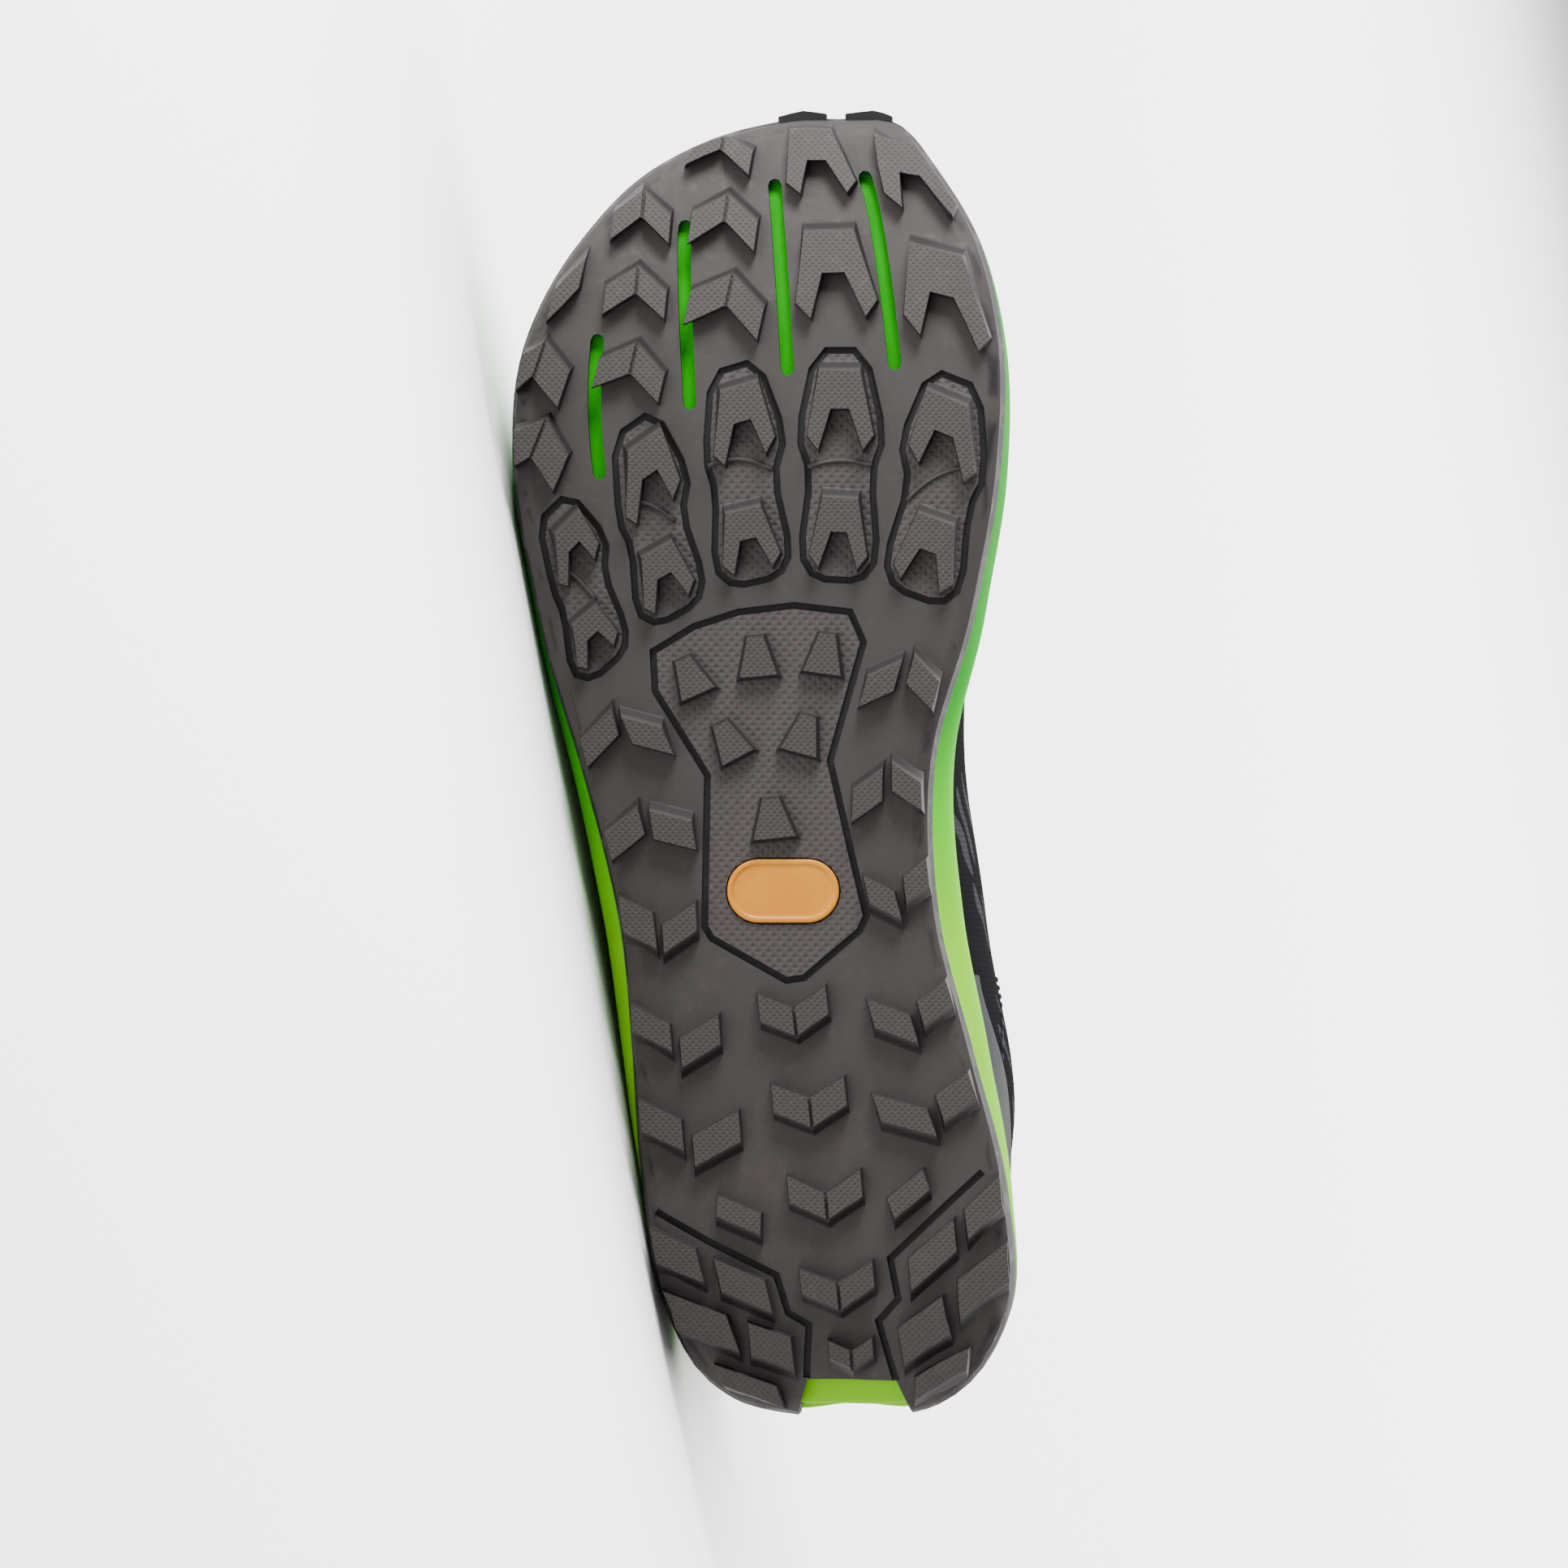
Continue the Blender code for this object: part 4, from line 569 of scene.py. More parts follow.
def weave_group():
    """Raised diagonal strands on a UV map in metres: height, and a mask of the gaps between them, for
    painted shade.
    """
    nodes, entry, leave = shader_group("Diagonal Weave", (
        ("Vector", "NodeSocketVector", (0, 0, 0)), ("Strand", "NodeSocketFloat", 0.001),
    ), (("Height", "NodeSocketFloat"), ("Gap Shade", "NodeSocketFloat")))
    parts = nodes.add("ShaderNodeSeparateXYZ", {0: entry.outputs[0]})
    turns = nodes.math("DIVIDE", math.pi, entry.outputs[1])
    waves = []
    for sign in ("ADD", "SUBTRACT"):
        slanted = nodes.math(sign, parts.outputs[0], parts.outputs[1])
        wave = nodes.math("SINE", nodes.math("MULTIPLY", slanted, turns))
        waves.append(nodes.math("ABSOLUTE", wave))
    height = nodes.math("MAXIMUM", waves[0], waves[1])
    nodes.feed(leave.inputs[0], height)
    nodes.feed(leave.inputs[1], nodes.smooth(height, 0.75, 0.45))
    return nodes.tree


def dust_group():
    """Patchy trail dust and rubbed spots, as two masks over the surface."""
    nodes, entry, leave = shader_group("Trail Dust", (
        ("Vector", "NodeSocketVector", (0, 0, 0)), ("Scale", "NodeSocketFloat", 30.0),
    ), (("Dust", "NodeSocketFloat"), ("Rubbed", "NodeSocketFloat")))
    coarse = nodes.noise(entry.outputs[0], entry.outputs[1], 6.0, 0.65)
    fine = nodes.noise(entry.outputs[0], nodes.math("MULTIPLY", entry.outputs[1], 14.0), 2.0, 0.6)
    both = nodes.math("ADD", nodes.math("MULTIPLY", coarse, 0.7), nodes.math("MULTIPLY", fine, 0.3))
    nodes.feed(leave.inputs[0], nodes.smooth(both, 0.50, 0.66))
    nodes.feed(leave.inputs[1], nodes.smooth(fine, 0.55, 0.75))
    return nodes.tree


GROUPS = {}


def group(nodes, name, **inputs):
    makers = {"Shoe Axes": shoe_axes_group, "Diagonal Weave": weave_group, "Trail Dust": dust_group}
    if name not in GROUPS:
        GROUPS[name] = makers[name]()
    node = nodes.add("ShaderNodeGroup", node_tree=GROUPS[name])
    for label, value in inputs.items():
        nodes.feed(node.inputs[label], value)
    return node.outputs


def surface(name, roughness, **fixed):
    """Material with its nodes and its shader, whose fixed values stand on its own sockets."""
    made = bpy.data.materials.new(name)
    made.use_nodes = True
    nodes = Nodes(made.node_tree)
    shader = made.node_tree.nodes["Principled BSDF"]
    nodes.feed(shader.inputs["Roughness"], roughness)
    for label, value in fixed.items():
        nodes.feed(shader.inputs[label.replace("_", " ")], value)
    return made, nodes, shader


def tread_rubber(colour, lug_top_painted_shade_colour):
    """Outsole rubber: pitted lug tops, dark roots and grooves, knurled floors of pods and plate; the tops'
    darker tone, the roots, the grooves and the pits are painted shade, and the toe's lighter tone and the
    knurl's lighter strands are painted light.
    """
    made, nodes, shader = surface("tread_rubber", 0.62, Specular_IOR_Level=0.22)
    axes = group(nodes, "Shoe Axes")
    rise = nodes.attribute("above_ground")
    tops = nodes.smooth(nodes.attribute("lug_top"), 0.4, 0.9)
    shut_in = nodes.smooth(nodes.attribute("knurled"), 0.5, 0.95)
    # Painted shade: the grooves round the pods and the plate are painted near black
    groove_painted_shade = nodes.smooth(nodes.attribute("groove_depth"), 0.0002, 0.0006)
    floor = nodes.smooth(rise, 0.0030, 0.0038)
    # Painted shade: the lugs' roots and sides are darkened where shade falls, but not their tops
    root = nodes.math("MULTIPLY", nodes.smooth(rise, 0.0006, 0.0016), nodes.smooth(rise, 0.0040, 0.0030))
    root = nodes.math("MULTIPLY", root, nodes.math("SUBTRACT", 1.0, tops))
    staggered = nodes.add("ShaderNodeMapping", {
        "Vector": axes["Vector"], "Rotation": (0, 0, math.pi / 4),
    }).outputs[0]
    # Painted shade: the face between the pits is painted lighter, so that the pits read darker
    pits = nodes.smooth(nodes.cells(staggered, 920.0, 0.0, "2D"), 0.20, 0.40)
    pitted = nodes.math("MULTIPLY", pits, tops)
    # Painted light: the raised strands of the knurl are painted lighter than its hollows
    knurl = group(nodes, "Diagonal Weave", Vector=axes["Vector"], Strand=0.0024)["Height"]
    knurled = nodes.math("MULTIPLY", nodes.math("MULTIPLY", knurl, floor), shut_in)
    grain = nodes.noise(axes["Vector"], 900.0, 4.0)
    dust = group(nodes, "Trail Dust", Vector=axes["Vector"], Scale=26.0)
    # Painted light: the rubber is made lighter toward the toe, where the key light falls
    toe_painted_light = nodes.smooth(axes["Toward Toe"], 0.80 * SOLE_LENGTH, 0.99 * SOLE_LENGTH)
    # Painted shade: the lugs' level tops take a darker copy of the rubber's colour
    base = nodes.mix(tops, colour, lug_top_painted_shade_colour)
    for mask, strength, shade in (
        (toe_painted_light, 0.35, tone(46, 42, 42)), (dust["Dust"], 0.14, tone(56, 51, 46)),
        (pitted, 0.28, tone(54, 51, 50)), (knurled, 0.30, tone(60, 54, 54)),
        (root, 0.75, tone(8, 7, 7)), (groove_painted_shade, 0.94, tone(1, 1, 1)),
    ):
        base = nodes.over(base, mask, strength, shade)
    nodes.feed(shader.inputs["Base Color"], base)
    nodes.feed(shader.inputs["Roughness"], nodes.math("MULTIPLY_ADD", dust["Rubbed"], -0.12, 0.66))
    height = nodes.math("ADD", nodes.math("MULTIPLY", pitted, 0.7), nodes.math("MULTIPLY", knurled, 1.6))
    height = nodes.math("ADD", height, nodes.math("MULTIPLY", grain, 0.35))
    nodes.feed(shader.inputs["Normal"], nodes.bump(height, 0.00016, 0.8))
    return made


def inlay_rubber(colour):
    """Smooth orange-yellow rubber, lighter in soft clouds."""
    made, nodes, shader = surface("inlay_rubber", 0.45, Specular_IOR_Level=0.25)
    axes = group(nodes, "Shoe Axes")
    cloud = nodes.noise(axes["Vector"], 90.0, 3.0)
    base = nodes.mix(nodes.smooth(cloud, 0.35, 0.7), colour, tone(163, 105, 0))
    nodes.feed(shader.inputs["Base Color"], base)
    grain = nodes.noise(axes["Vector"], 1400.0, 3.0)
    nodes.feed(shader.inputs["Normal"], nodes.bump(grain, 0.00005, 0.6))
    return made


def midsole_foam(forefoot, heel):
    """Foam that goes from green at the forefoot to lime at the arch, darker lime at the heel."""
    made, nodes, shader = surface("midsole_foam", 0.55, Specular_IOR_Level=0.03)
    axes = group(nodes, "Shoe Axes")
    along = nodes.math("DIVIDE", axes["Toward Toe"], SOLE_LENGTH)
    lifted = nodes.math("MULTIPLY", nodes.math("SUBTRACT", axes["Above Ground"], 0.013), 7.0)
    lifted = nodes.math("MINIMUM", nodes.math("MAXIMUM", lifted, 0.0), 0.13)
    wander = nodes.math("MULTIPLY", nodes.noise(axes["Vector"], 18.0, 2.0), 0.03)
    place = nodes.math("ADD", nodes.math("SUBTRACT", along, lifted), wander)
    base = nodes.ramp(place, (
        (0.0, tone(92, 150, 0)), (0.14, heel), (0.37, heel), (0.47, tone(60, 156, 0)),
        (0.57, forefoot), (1.0, tone(0, 112, 0)),
    ))
    skin = nodes.cells(axes["Vector"], 1500.0, 1.0)
    speck = nodes.noise(axes["Vector"], 320.0, 4.0)
    dust = group(nodes, "Trail Dust", Vector=axes["Vector"], Scale=40.0)
    base = nodes.over(base, dust["Dust"], 0.06, tone(120, 120, 70))
    nodes.feed(shader.inputs["Base Color"], base)
    nodes.feed(shader.inputs["Roughness"], nodes.math("MULTIPLY_ADD", speck, 0.16, 0.48))
    height = nodes.math("ADD", nodes.math("MULTIPLY", skin, 0.5), nodes.math("MULTIPLY", speck, 0.5))
    nodes.feed(shader.inputs["Normal"], nodes.bump(height, 0.00012, 0.5))
    return made


# Strokes on the mesh: the room that one takes in metres, how it slants up toward the heel, and the
# share of the length where they end
STROKE_CELL = (0.036, 0.022, 0.0056)
STROKE_SLANT = math.radians(34)
STROKES_END = 0.63


def mesh_cloth(colour, stroke_colour, strokes=1.0, name="mesh_cloth"):
    """Black engineered mesh on the piece's UV map in metres, with slanting grey strokes."""
    made, nodes, shader = surface(name, 0.9, Specular_IOR_Level=0.02)
    uv = nodes.add("ShaderNodeUVMap", uv_map="cloth").outputs[0]
    holes = nodes.cells(uv, 780.0, 0.12)
    hole = nodes.smooth(holes, 0.20, 0.34)
    axes = group(nodes, "Shoe Axes")
    bent = nodes.add("ShaderNodeTexNoise", {"Vector": axes["Vector"], "Scale": 60.0, "Detail": 1.0})
    bent = nodes.mix(0.005, axes["Vector"], bent.outputs["Color"], "LINEAR_LIGHT")
    slanted = nodes.add("ShaderNodeMapping", {
        "Vector": bent, "Rotation": (0, STROKE_SLANT, 0), "Scale": STROKE_CELL,
    }, vector_type="TEXTURE").outputs[0]
    spots = nodes.cells(slanted, 1.0, 0.8)
    stroke = nodes.math("MULTIPLY", nodes.smooth(spots, 0.36, 0.32), strokes)
    beside = nodes.smooth(axes["Toward Toe"], STROKES_END * SOLE_LENGTH, (STROKES_END - 0.05) * SOLE_LENGTH)
    stroke = nodes.math("MULTIPLY", stroke, beside)
    thread = nodes.noise(uv, 2600.0, 2.0)
    base = nodes.mix(stroke, colour, stroke_colour)
    # Painted shade: the mesh's holes are painted near black
    base = nodes.over(base, nodes.math("SUBTRACT", 1.0, hole), 0.75, tone(1, 1, 2))
    base = nodes.over(base, thread, 0.06, tone(60, 60, 64))
    nodes.feed(shader.inputs["Base Color"], base)
    nodes.feed(shader.inputs["Roughness"], nodes.math("MULTIPLY_ADD", stroke, -0.25, 0.9))
    height = nodes.math("ADD", hole, nodes.math("MULTIPLY", stroke, 0.6))
    nodes.feed(shader.inputs["Normal"], nodes.bump(height, 0.00022, 0.8))
    return made


def overlay_film(name, colour):
    """Thin welded film with a satin face and faint flow marks."""
    made, nodes, shader = surface(name, 0.5, Specular_IOR_Level=0.06)
    axes = group(nodes, "Shoe Axes")
    cloud = nodes.noise(axes["Vector"], 60.0, 4.0)
    base = nodes.over(colour, cloud, 0.35, tone(24, 28, 32))
    nodes.feed(shader.inputs["Base Color"], base)
    nodes.feed(shader.inputs["Roughness"], nodes.math("MULTIPLY_ADD", cloud, 0.20, 0.42))
    grain = nodes.cells(axes["Vector"], 1900.0, 0.6)
    nodes.feed(shader.inputs["Normal"], nodes.bump(grain, 0.00006, 0.6))
    return made


def woven_cord(name, colour, strand):
    """Woven lace, webbing or thread on the piece's UV map in metres."""
    made, nodes, shader = surface(name, 0.80, Specular_IOR_Level=0.2)
    uv = nodes.add("ShaderNodeUVMap", uv_map="cloth").outputs[0]
    weave = group(nodes, "Diagonal Weave", Vector=uv, Strand=strand)
    fuzz = nodes.noise(uv, 3200.0, 3.0)
    # Painted shade: the gaps between the strands are painted near black
    base = nodes.mix(weave["Gap Shade"], colour, tone(2, 2, 3))
    base = nodes.over(base, fuzz, 0.10, tone(60, 60, 64))
    nodes.feed(shader.inputs["Base Color"], base)
    nodes.feed(shader.inputs["Roughness"], nodes.math("MULTIPLY_ADD", fuzz, 0.12, 0.74))
    nodes.feed(shader.inputs["Normal"], nodes.bump(weave["Height"], 0.00020, 0.9))
    return made


def lining_cloth(name, colour):
    """Soft knit on Object coordinates, for the lining and the insole's cover."""
    made, nodes, shader = surface(name, 0.92, Specular_IOR_Level=0.12)
    axes = group(nodes, "Shoe Axes")
    knit = nodes.cells(axes["Vector"], 1100.0, 0.25)
    cloud = nodes.noise(axes["Vector"], 45.0, 4.0)
    base = nodes.over(colour, cloud, 0.4, tone(36, 36, 39))
    # Painted shade: the knit's holes are painted darker
    base = nodes.over(base, nodes.smooth(knit, 0.30, 0.10), 0.5, tone(4, 4, 5))
    nodes.feed(shader.inputs["Base Color"], base)
    nodes.feed(shader.inputs["Roughness"], nodes.math("MULTIPLY_ADD", cloud, 0.08, 0.86))
    nodes.feed(shader.inputs["Normal"], nodes.bump(knit, 0.00018, 0.7))
    return made


def studio_paper(shade):
    """Matt white paper of the floor."""
    made, nodes, shader = surface("studio_paper", 0.95)
    place = nodes.add("ShaderNodeTexCoord").outputs["Object"]
    tooth = nodes.noise(place, 40.0, 2.0)
    nodes.feed(shader.inputs["Base Color"], nodes.over(shade, tooth, 0.02, tone(236, 236, 238)))
    return made


# Pieces in the shoe's own axes

MERGE_WITHIN = 2e-6
# Girth of a flat oval, as a share of the sum of its half width and half height
OVAL_GIRTH = 3.2


def linked(name, data):
    """Object of a mesh, light or camera, in the scene."""
    made = bpy.data.objects.new(name, data)
    bpy.context.scene.collection.objects.link(made)
    return made


def shoe_mesh(name, points, faces, materials, uvs=None):
    """Smooth mesh piece from points in the shoe's axes, with an optional UV for each face corner."""
    mesh = bpy.data.meshes.new(name)
    mesh.from_pydata([ROW @ Vector(point) for point in points], [], faces)
    if uvs:
        layer = mesh.uv_layers.new(name="cloth")
        for corner, uv in zip(layer.data, uvs):
            corner.uv = uv
    for material in materials:
        mesh.materials.append(material)
    mesh.shade_smooth()
    return linked(name, mesh)


def grid_piece(name, grid, materials, cyclic=False):
    """Open surface through a grid of points, columns first, with its UV map in metres."""
    rows = len(grid[0])
    count = len(grid)
    middle = rows // 2
    around = [0.0]
    for index in range(count):
        around.append(around[-1] + (grid[(index + 1) % count][middle] - grid[index][middle]).length)
    up = []
    for line in grid:
        lengths = [0.0]
        for low, high in zip(line, line[1:]):
            lengths.append(lengths[-1] + (high - low).length)
        up.append(lengths)
    points = [point for line in grid for point in line]
    faces, uvs = [], []
    for index in range(count if cyclic else count - 1):
        after = (index + 1) % count
        for row in range(rows - 1):
            corners = (
                (index, row, index), (index, row + 1, index),
                (after, row + 1, index + 1), (after, row, index + 1),
            )
            faces.append(tuple(line * rows + level for line, level, _ in corners))
            uvs += [(around[place], up[line][level]) for line, level, place in corners]
    return shoe_mesh(name, points, faces, materials, uvs)


def band_faces(low, high, count):
    """Faces between two closed rings of points, from the numbers of their first points."""
    faces = []
    for step in range(count):
        after = (step + 1) % count
        faces.append((low + step, low + after, high + after, high + step))
    return faces


def faced_outwards(mesh, merged=False):
    """Turns the faces of a closed mesh outwards, and first merges its coinciding points if asked."""
    shape = bmesh.new()
    shape.from_mesh(mesh)
    if merged:
        bmesh.ops.remove_doubles(shape, verts=shape.verts, dist=MERGE_WITHIN)
        bmesh.ops.dissolve_degenerate(shape, dist=MERGE_WITHIN / 2, edges=shape.edges)
    bmesh.ops.recalc_face_normals(shape, faces=shape.faces)
    shape.to_mesh(mesh)
    shape.free()


def ring_piece(name, rings, materials):
    """Closed solid through rings of points, with its coinciding points merged."""
    count = len(rings[0])
    points = [point for ring in rings for point in ring]
    faces = []
    for level in range(len(rings) - 1):
        faces += band_faces(level * count, (level + 1) * count, count)
    piece = shoe_mesh(name, points, faces, materials)
    faced_outwards(piece.data, merged=True)
    piece.data.shade_smooth()
    return piece


def tube_piece(name, lines, half_width, half_height, materials, sides=12):
    """Flat-oval tubes along lines of (point, normal), closed at both ends."""
    points, faces, uvs = [], [], []
    girth = OVAL_GIRTH * (half_width + half_height) / sides
    for line in lines:
        start = len(points)
        walked = 0.0
        lengths = []
        for index, (point, normal) in enumerate(line):
            before = line[max(index - 1, 0)][0]
            after = line[min(index + 1, len(line) - 1)][0]
            way = (after - before).normalized()
            walked += (point - before).length
            lengths.append(walked)
            across = way.cross(normal).normalized()
            up = across.cross(way)
            for step in range(sides):
                angle = math.tau * step / sides
                aside = across * math.cos(angle) * half_width
                points.append(point + aside + up * math.sin(angle) * half_height)
        for level in range(len(line) - 1):
            faces += band_faces(start + level * sides, start + (level + 1) * sides, sides)
            low, high = lengths[level], lengths[level + 1]
            for step in range(sides):
                left, right = step * girth, (step + 1) * girth
                uvs += [(left, low), (right, low), (right, high), (left, high)]
        for level, order in ((0, range(sides - 1, -1, -1)), (len(line) - 1, range(sides))):
            faces.append(tuple(start + level * sides + step for step in order))
            uvs += [(0.0, lengths[level])] * sides
    return shoe_mesh(name, points, faces, materials, uvs)


def modifier(piece, name, kind, **settings):
    change = piece.modifiers.new(name, kind)
    for label, value in settings.items():
        setattr(change, label, value)
    return change


def rounded(piece, width, segments=2, angle=40):
    modifier(piece, "rounded_edges", "BEVEL", width=width, segments=segments, limit_method="ANGLE",
             angle_limit=math.radians(angle), use_clamp_overlap=True)


def walled(piece, thickness, outward, rounding=0.0):
    modifier(piece, "wall", "SOLIDIFY", thickness=thickness, offset=1 if outward else -1,
             use_even_offset=True, material_offset=0)
    if rounding:
        rounded(piece, rounding)


def settled(piece, slot, *nodes):
    """Rides the piece on the shoe and hides the solids that it stands for; its slot, the name of its
    finish, is not used.
    """
    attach(piece, "root")
    if nodes:
        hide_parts(*nodes)
    return piece


# Outsole

SMOOTH_FROM = 0.006
SMOOTH_TO = 0.013
EDGE_SPLIT = 0.0045
OUTLINE_FINDER_STEP = 0.0008
LUG_TOPS_BELOW = 0.0032
LEVEL_FACE = 0.985
GROOVE_FROM = 0.0004
PLATE_MIDDLE = (50.5, -5.5)


def outline_shift(point):
    """Move from the part's many-sided outline onto the smooth one, for a point in plan."""
    best = None
    count = len(PART_OUTLINE)
    for index in range(count):
        start, end = PART_OUTLINE[index], PART_OUTLINE[(index + 1) % count]
        run = end.edge - start.edge
        share = min(1.0, max(0.0, (point - start.edge).dot(run) / run.length_squared))
        foot = start.edge + run * share
        distance = (point - foot).length
        if best is None or distance < best[0]:
            best = (distance, foot, index, share)
    distance, foot, index, share = best
    last = PART_OUTLINE[(index + 1) % count].place
    if last == 0:
        last = 2 * LOOP.half
    place = blend(PART_OUTLINE[index].place, last, share)
    weight = ease((SMOOTH_TO - distance) / (SMOOTH_TO - SMOOTH_FROM))
    return (outline_point(place) - foot) * weight, distance


def smoothed_outsole(name):
    """Copy of the outsole's solid whose edge follows the smooth outline, in the shoe's axes."""
    shape = bmesh.new()
    shape.from_mesh(FRAME["nodes"]["outsole"].data)
    bmesh.ops.remove_doubles(shape, verts=shape.verts, dist=MERGE_WITHIN)
    bmesh.ops.transform(shape, matrix=ROW.inverted(), verts=shape.verts)
    near = {vertex: outline_shift(vertex.co.xy)[1] < SMOOTH_FROM for vertex in shape.verts}
    for _ in range(2):
        long_edges = [
            edge for edge in shape.edges
            if edge.calc_length() > EDGE_SPLIT and all(near.get(vertex, True) for vertex in edge.verts)
        ]
        bmesh.ops.subdivide_edges(shape, edges=long_edges, cuts=1)
        bmesh.ops.triangulate(shape, faces=shape.faces)
    for vertex in shape.verts:
        shift = outline_shift(vertex.co.xy)[0]
        vertex.co.x += shift.x
        vertex.co.y += shift.y
    bmesh.ops.dissolve_limit(shape, angle_limit=math.radians(0.4), verts=shape.verts, edges=shape.edges)
    mesh = bpy.data.meshes.new(name)
    shape.to_mesh(mesh)
    shape.free()
    return mesh


def local_point(centre, turn, back, across):
    angle = math.radians(turn)
    return centre + Vector((
        -back * math.cos(angle) - across * math.sin(angle),
        across * math.cos(angle) - back * math.sin(angle),
    ))


def sipe_cutter():
    """Thin blades that cut the sipes from apex to apex of the chevrons."""
    points, faces = [], []
    for along, across, turn, depth in SIPED_CHEVRONS:
        centre = plan(along, across)
        start = len(points)
        back = depth / 100 * SOLE_LENGTH
        ends = (-SIPE_OVERRUN, back + SIPE_OVERRUN)
        for level in (-SIPE_BLADE_BELOW, SIPE_DEPTH):
            for down, side in ((ends[0], -1), (ends[0], 1), (ends[1], 1), (ends[1], -1)):
                spot = local_point(centre, turn, down, side * SIPE_WIDTH / 2)
                points.append((spot.x, spot.y, ground(spot.x) + level))
        faces += [tuple(start + corner for corner in face) for face in (
            (0, 1, 2, 3), (7, 6, 5, 4), (0, 4, 5, 1), (1, 5, 6, 2), (2, 6, 7, 3), (3, 7, 4, 0),
        )]
    mesh = bpy.data.meshes.new("sipe_blades")
    mesh.from_pydata(points, [], faces)
    faced_outwards(mesh)
    return linked("sipe_blades", mesh)


def outline_finder():
    """Finder of the nearest point on the sole's outline."""
    places = LOOP.places(OUTLINE_FINDER_STEP)
    tree = KDTree(len(places))
    for index, place in enumerate(places):
        tree.insert(outline_point(place).to_3d(), index)
    tree.balance()
    return tree


def roll(distance):
    """Rise of the outsole's rolled edge at a distance from the outline."""
    distance = min(EDGE_ROLL, distance)
    return EDGE_ROLL - math.sqrt(EDGE_ROLL**2 - (EDGE_ROLL - distance) ** 2)


def on_lug_top(vertex, rise):
    """Whether a vertex of the outsole bounds a face that lies level with the ground under it."""
    step = 1e-4
    slope = (ground(vertex.co.x + step) - ground(vertex.co.x - step)) / (2 * step)
    down = Vector((slope, 0, -1)).normalized()
    return rise < LUG_TOPS_BELOW and any(face.normal.dot(down) > LEVEL_FACE for face in vertex.link_faces)


def ringed_by_grooves(shape, depths):
    """1 for each vertex of the faces that the grooves round the pods and the plate shut in."""
    faces = [face for face in shape.faces if face.normal.z < 0]
    reached = set()
    for ends in (*POD_BANDS, (PLATE_MIDDLE,) * 3):
        middle = plan(*ends[1])
        start = min(faces, key=lambda face: (face.calc_center_median().xy - middle).length)
        waiting = [start]
        while waiting:
            face = waiting.pop()
            if face in reached or max(depths[vertex.index] for vertex in face.verts) > GROOVE_FROM:
                continue
            reached.add(face)
            waiting += [other for edge in face.edges for other in edge.link_faces]
    found = [0.0] * len(depths)
    for face in reached:
        for vertex in face.verts:
            found[vertex.index] = 1.0
    return found


def plain_mesh(piece):
    """Evaluated mesh of a piece, with its modifiers taken into it."""
    graph = bpy.context.evaluated_depsgraph_get()
    return bpy.data.meshes.new_from_object(piece.evaluated_get(graph))


def outsole_piece(material, rounding):
    piece = linked("outsole_tread", smoothed_outsole("outsole_tread"))
    blades = sipe_cutter()
    modifier(piece, "sipes", "BOOLEAN", operation="DIFFERENCE", object=blades, solver="EXACT")
    rounded(piece, rounding)
    mesh = plain_mesh(piece)
    bpy.data.objects.remove(piece)
    bpy.data.objects.remove(blades)
    shape = bmesh.new()
    shape.from_mesh(mesh)
    edge = outline_finder()
    rises = [vertex.co.z - ground(vertex.co.x) for vertex in shape.verts]
    depths = [
        rise - LUG_HEIGHT - roll(edge.find((vertex.co.x, vertex.co.y, 0))[2])
        for rise, vertex in zip(rises, shape.verts)
    ]
    tops = [float(on_lug_top(vertex, rise)) for rise, vertex in zip(rises, shape.verts)]
    knurled = ringed_by_grooves(shape, depths)
    shape.free()
    for name, values in (
        ("above_ground", rises), ("groove_depth", depths), ("lug_top", tops), ("knurled", knurled),
    ):
        mesh.attributes.new(name, "FLOAT", "POINT").data.foreach_set("value", values)
    mesh.transform(ROW)
    mesh.materials.clear()
    mesh.materials.append(material)
    mesh.shade_smooth()
    made = linked("outsole_tread", mesh)
    modifier(made, "flat_faces_first", "WEIGHTED_NORMAL", keep_sharp=False, weight=80)
    return settled(made, "outsole_rubber", "outsole")


def pod_band_piece(material):
    """Thin bowed bands across the grooved pods."""
    lines = []
    for ends in POD_BANDS:
        first, middle, last = [plan(*place) for place in ends]
        control = middle * 2 - (first + last) / 2
        line = []
        for step in range(13):
            t = step / 12
            spot = first * (1 - t) ** 2 + control * 2 * t * (1 - t) + last * t * t
            height = ground(spot.x) + LUG_HEIGHT
            line.append((Vector((spot.x, spot.y, height)), Vector((0, 0, 1))))
        lines.append(line)
    piece = tube_piece("pod_bands", lines, POD_BAND_WIDTH / 2, POD_BAND_HEIGHT / 2, [material], 8)
    return settled(piece, "outsole_rubber")


# Inlay: inset from its outline and rise out of the rubber, from its foot over the rim to the middle
INLAY_STEPS = (
    (0.00012, -0.00060), (0.00012, 0.00030), (0.00022, 0.00052), (0.00045, 0.00062), (0.00105, 0.00062),
    (0.00130, 0.00052), (0.00145, 0.00034), (0.00175, 0.00028), (0.00250, 0.00030), (0.00500, 0.00036),
    (0.00700, 0.00038),
)
INLAY_ARC_STEPS = 28


def drawn_together(ring):
    """The ring with all its points at its middle, which closes a solid there."""
    middle = sum((Vector(point) for point in ring), Vector()) / len(ring)
    return [tuple(middle)] * len(ring)


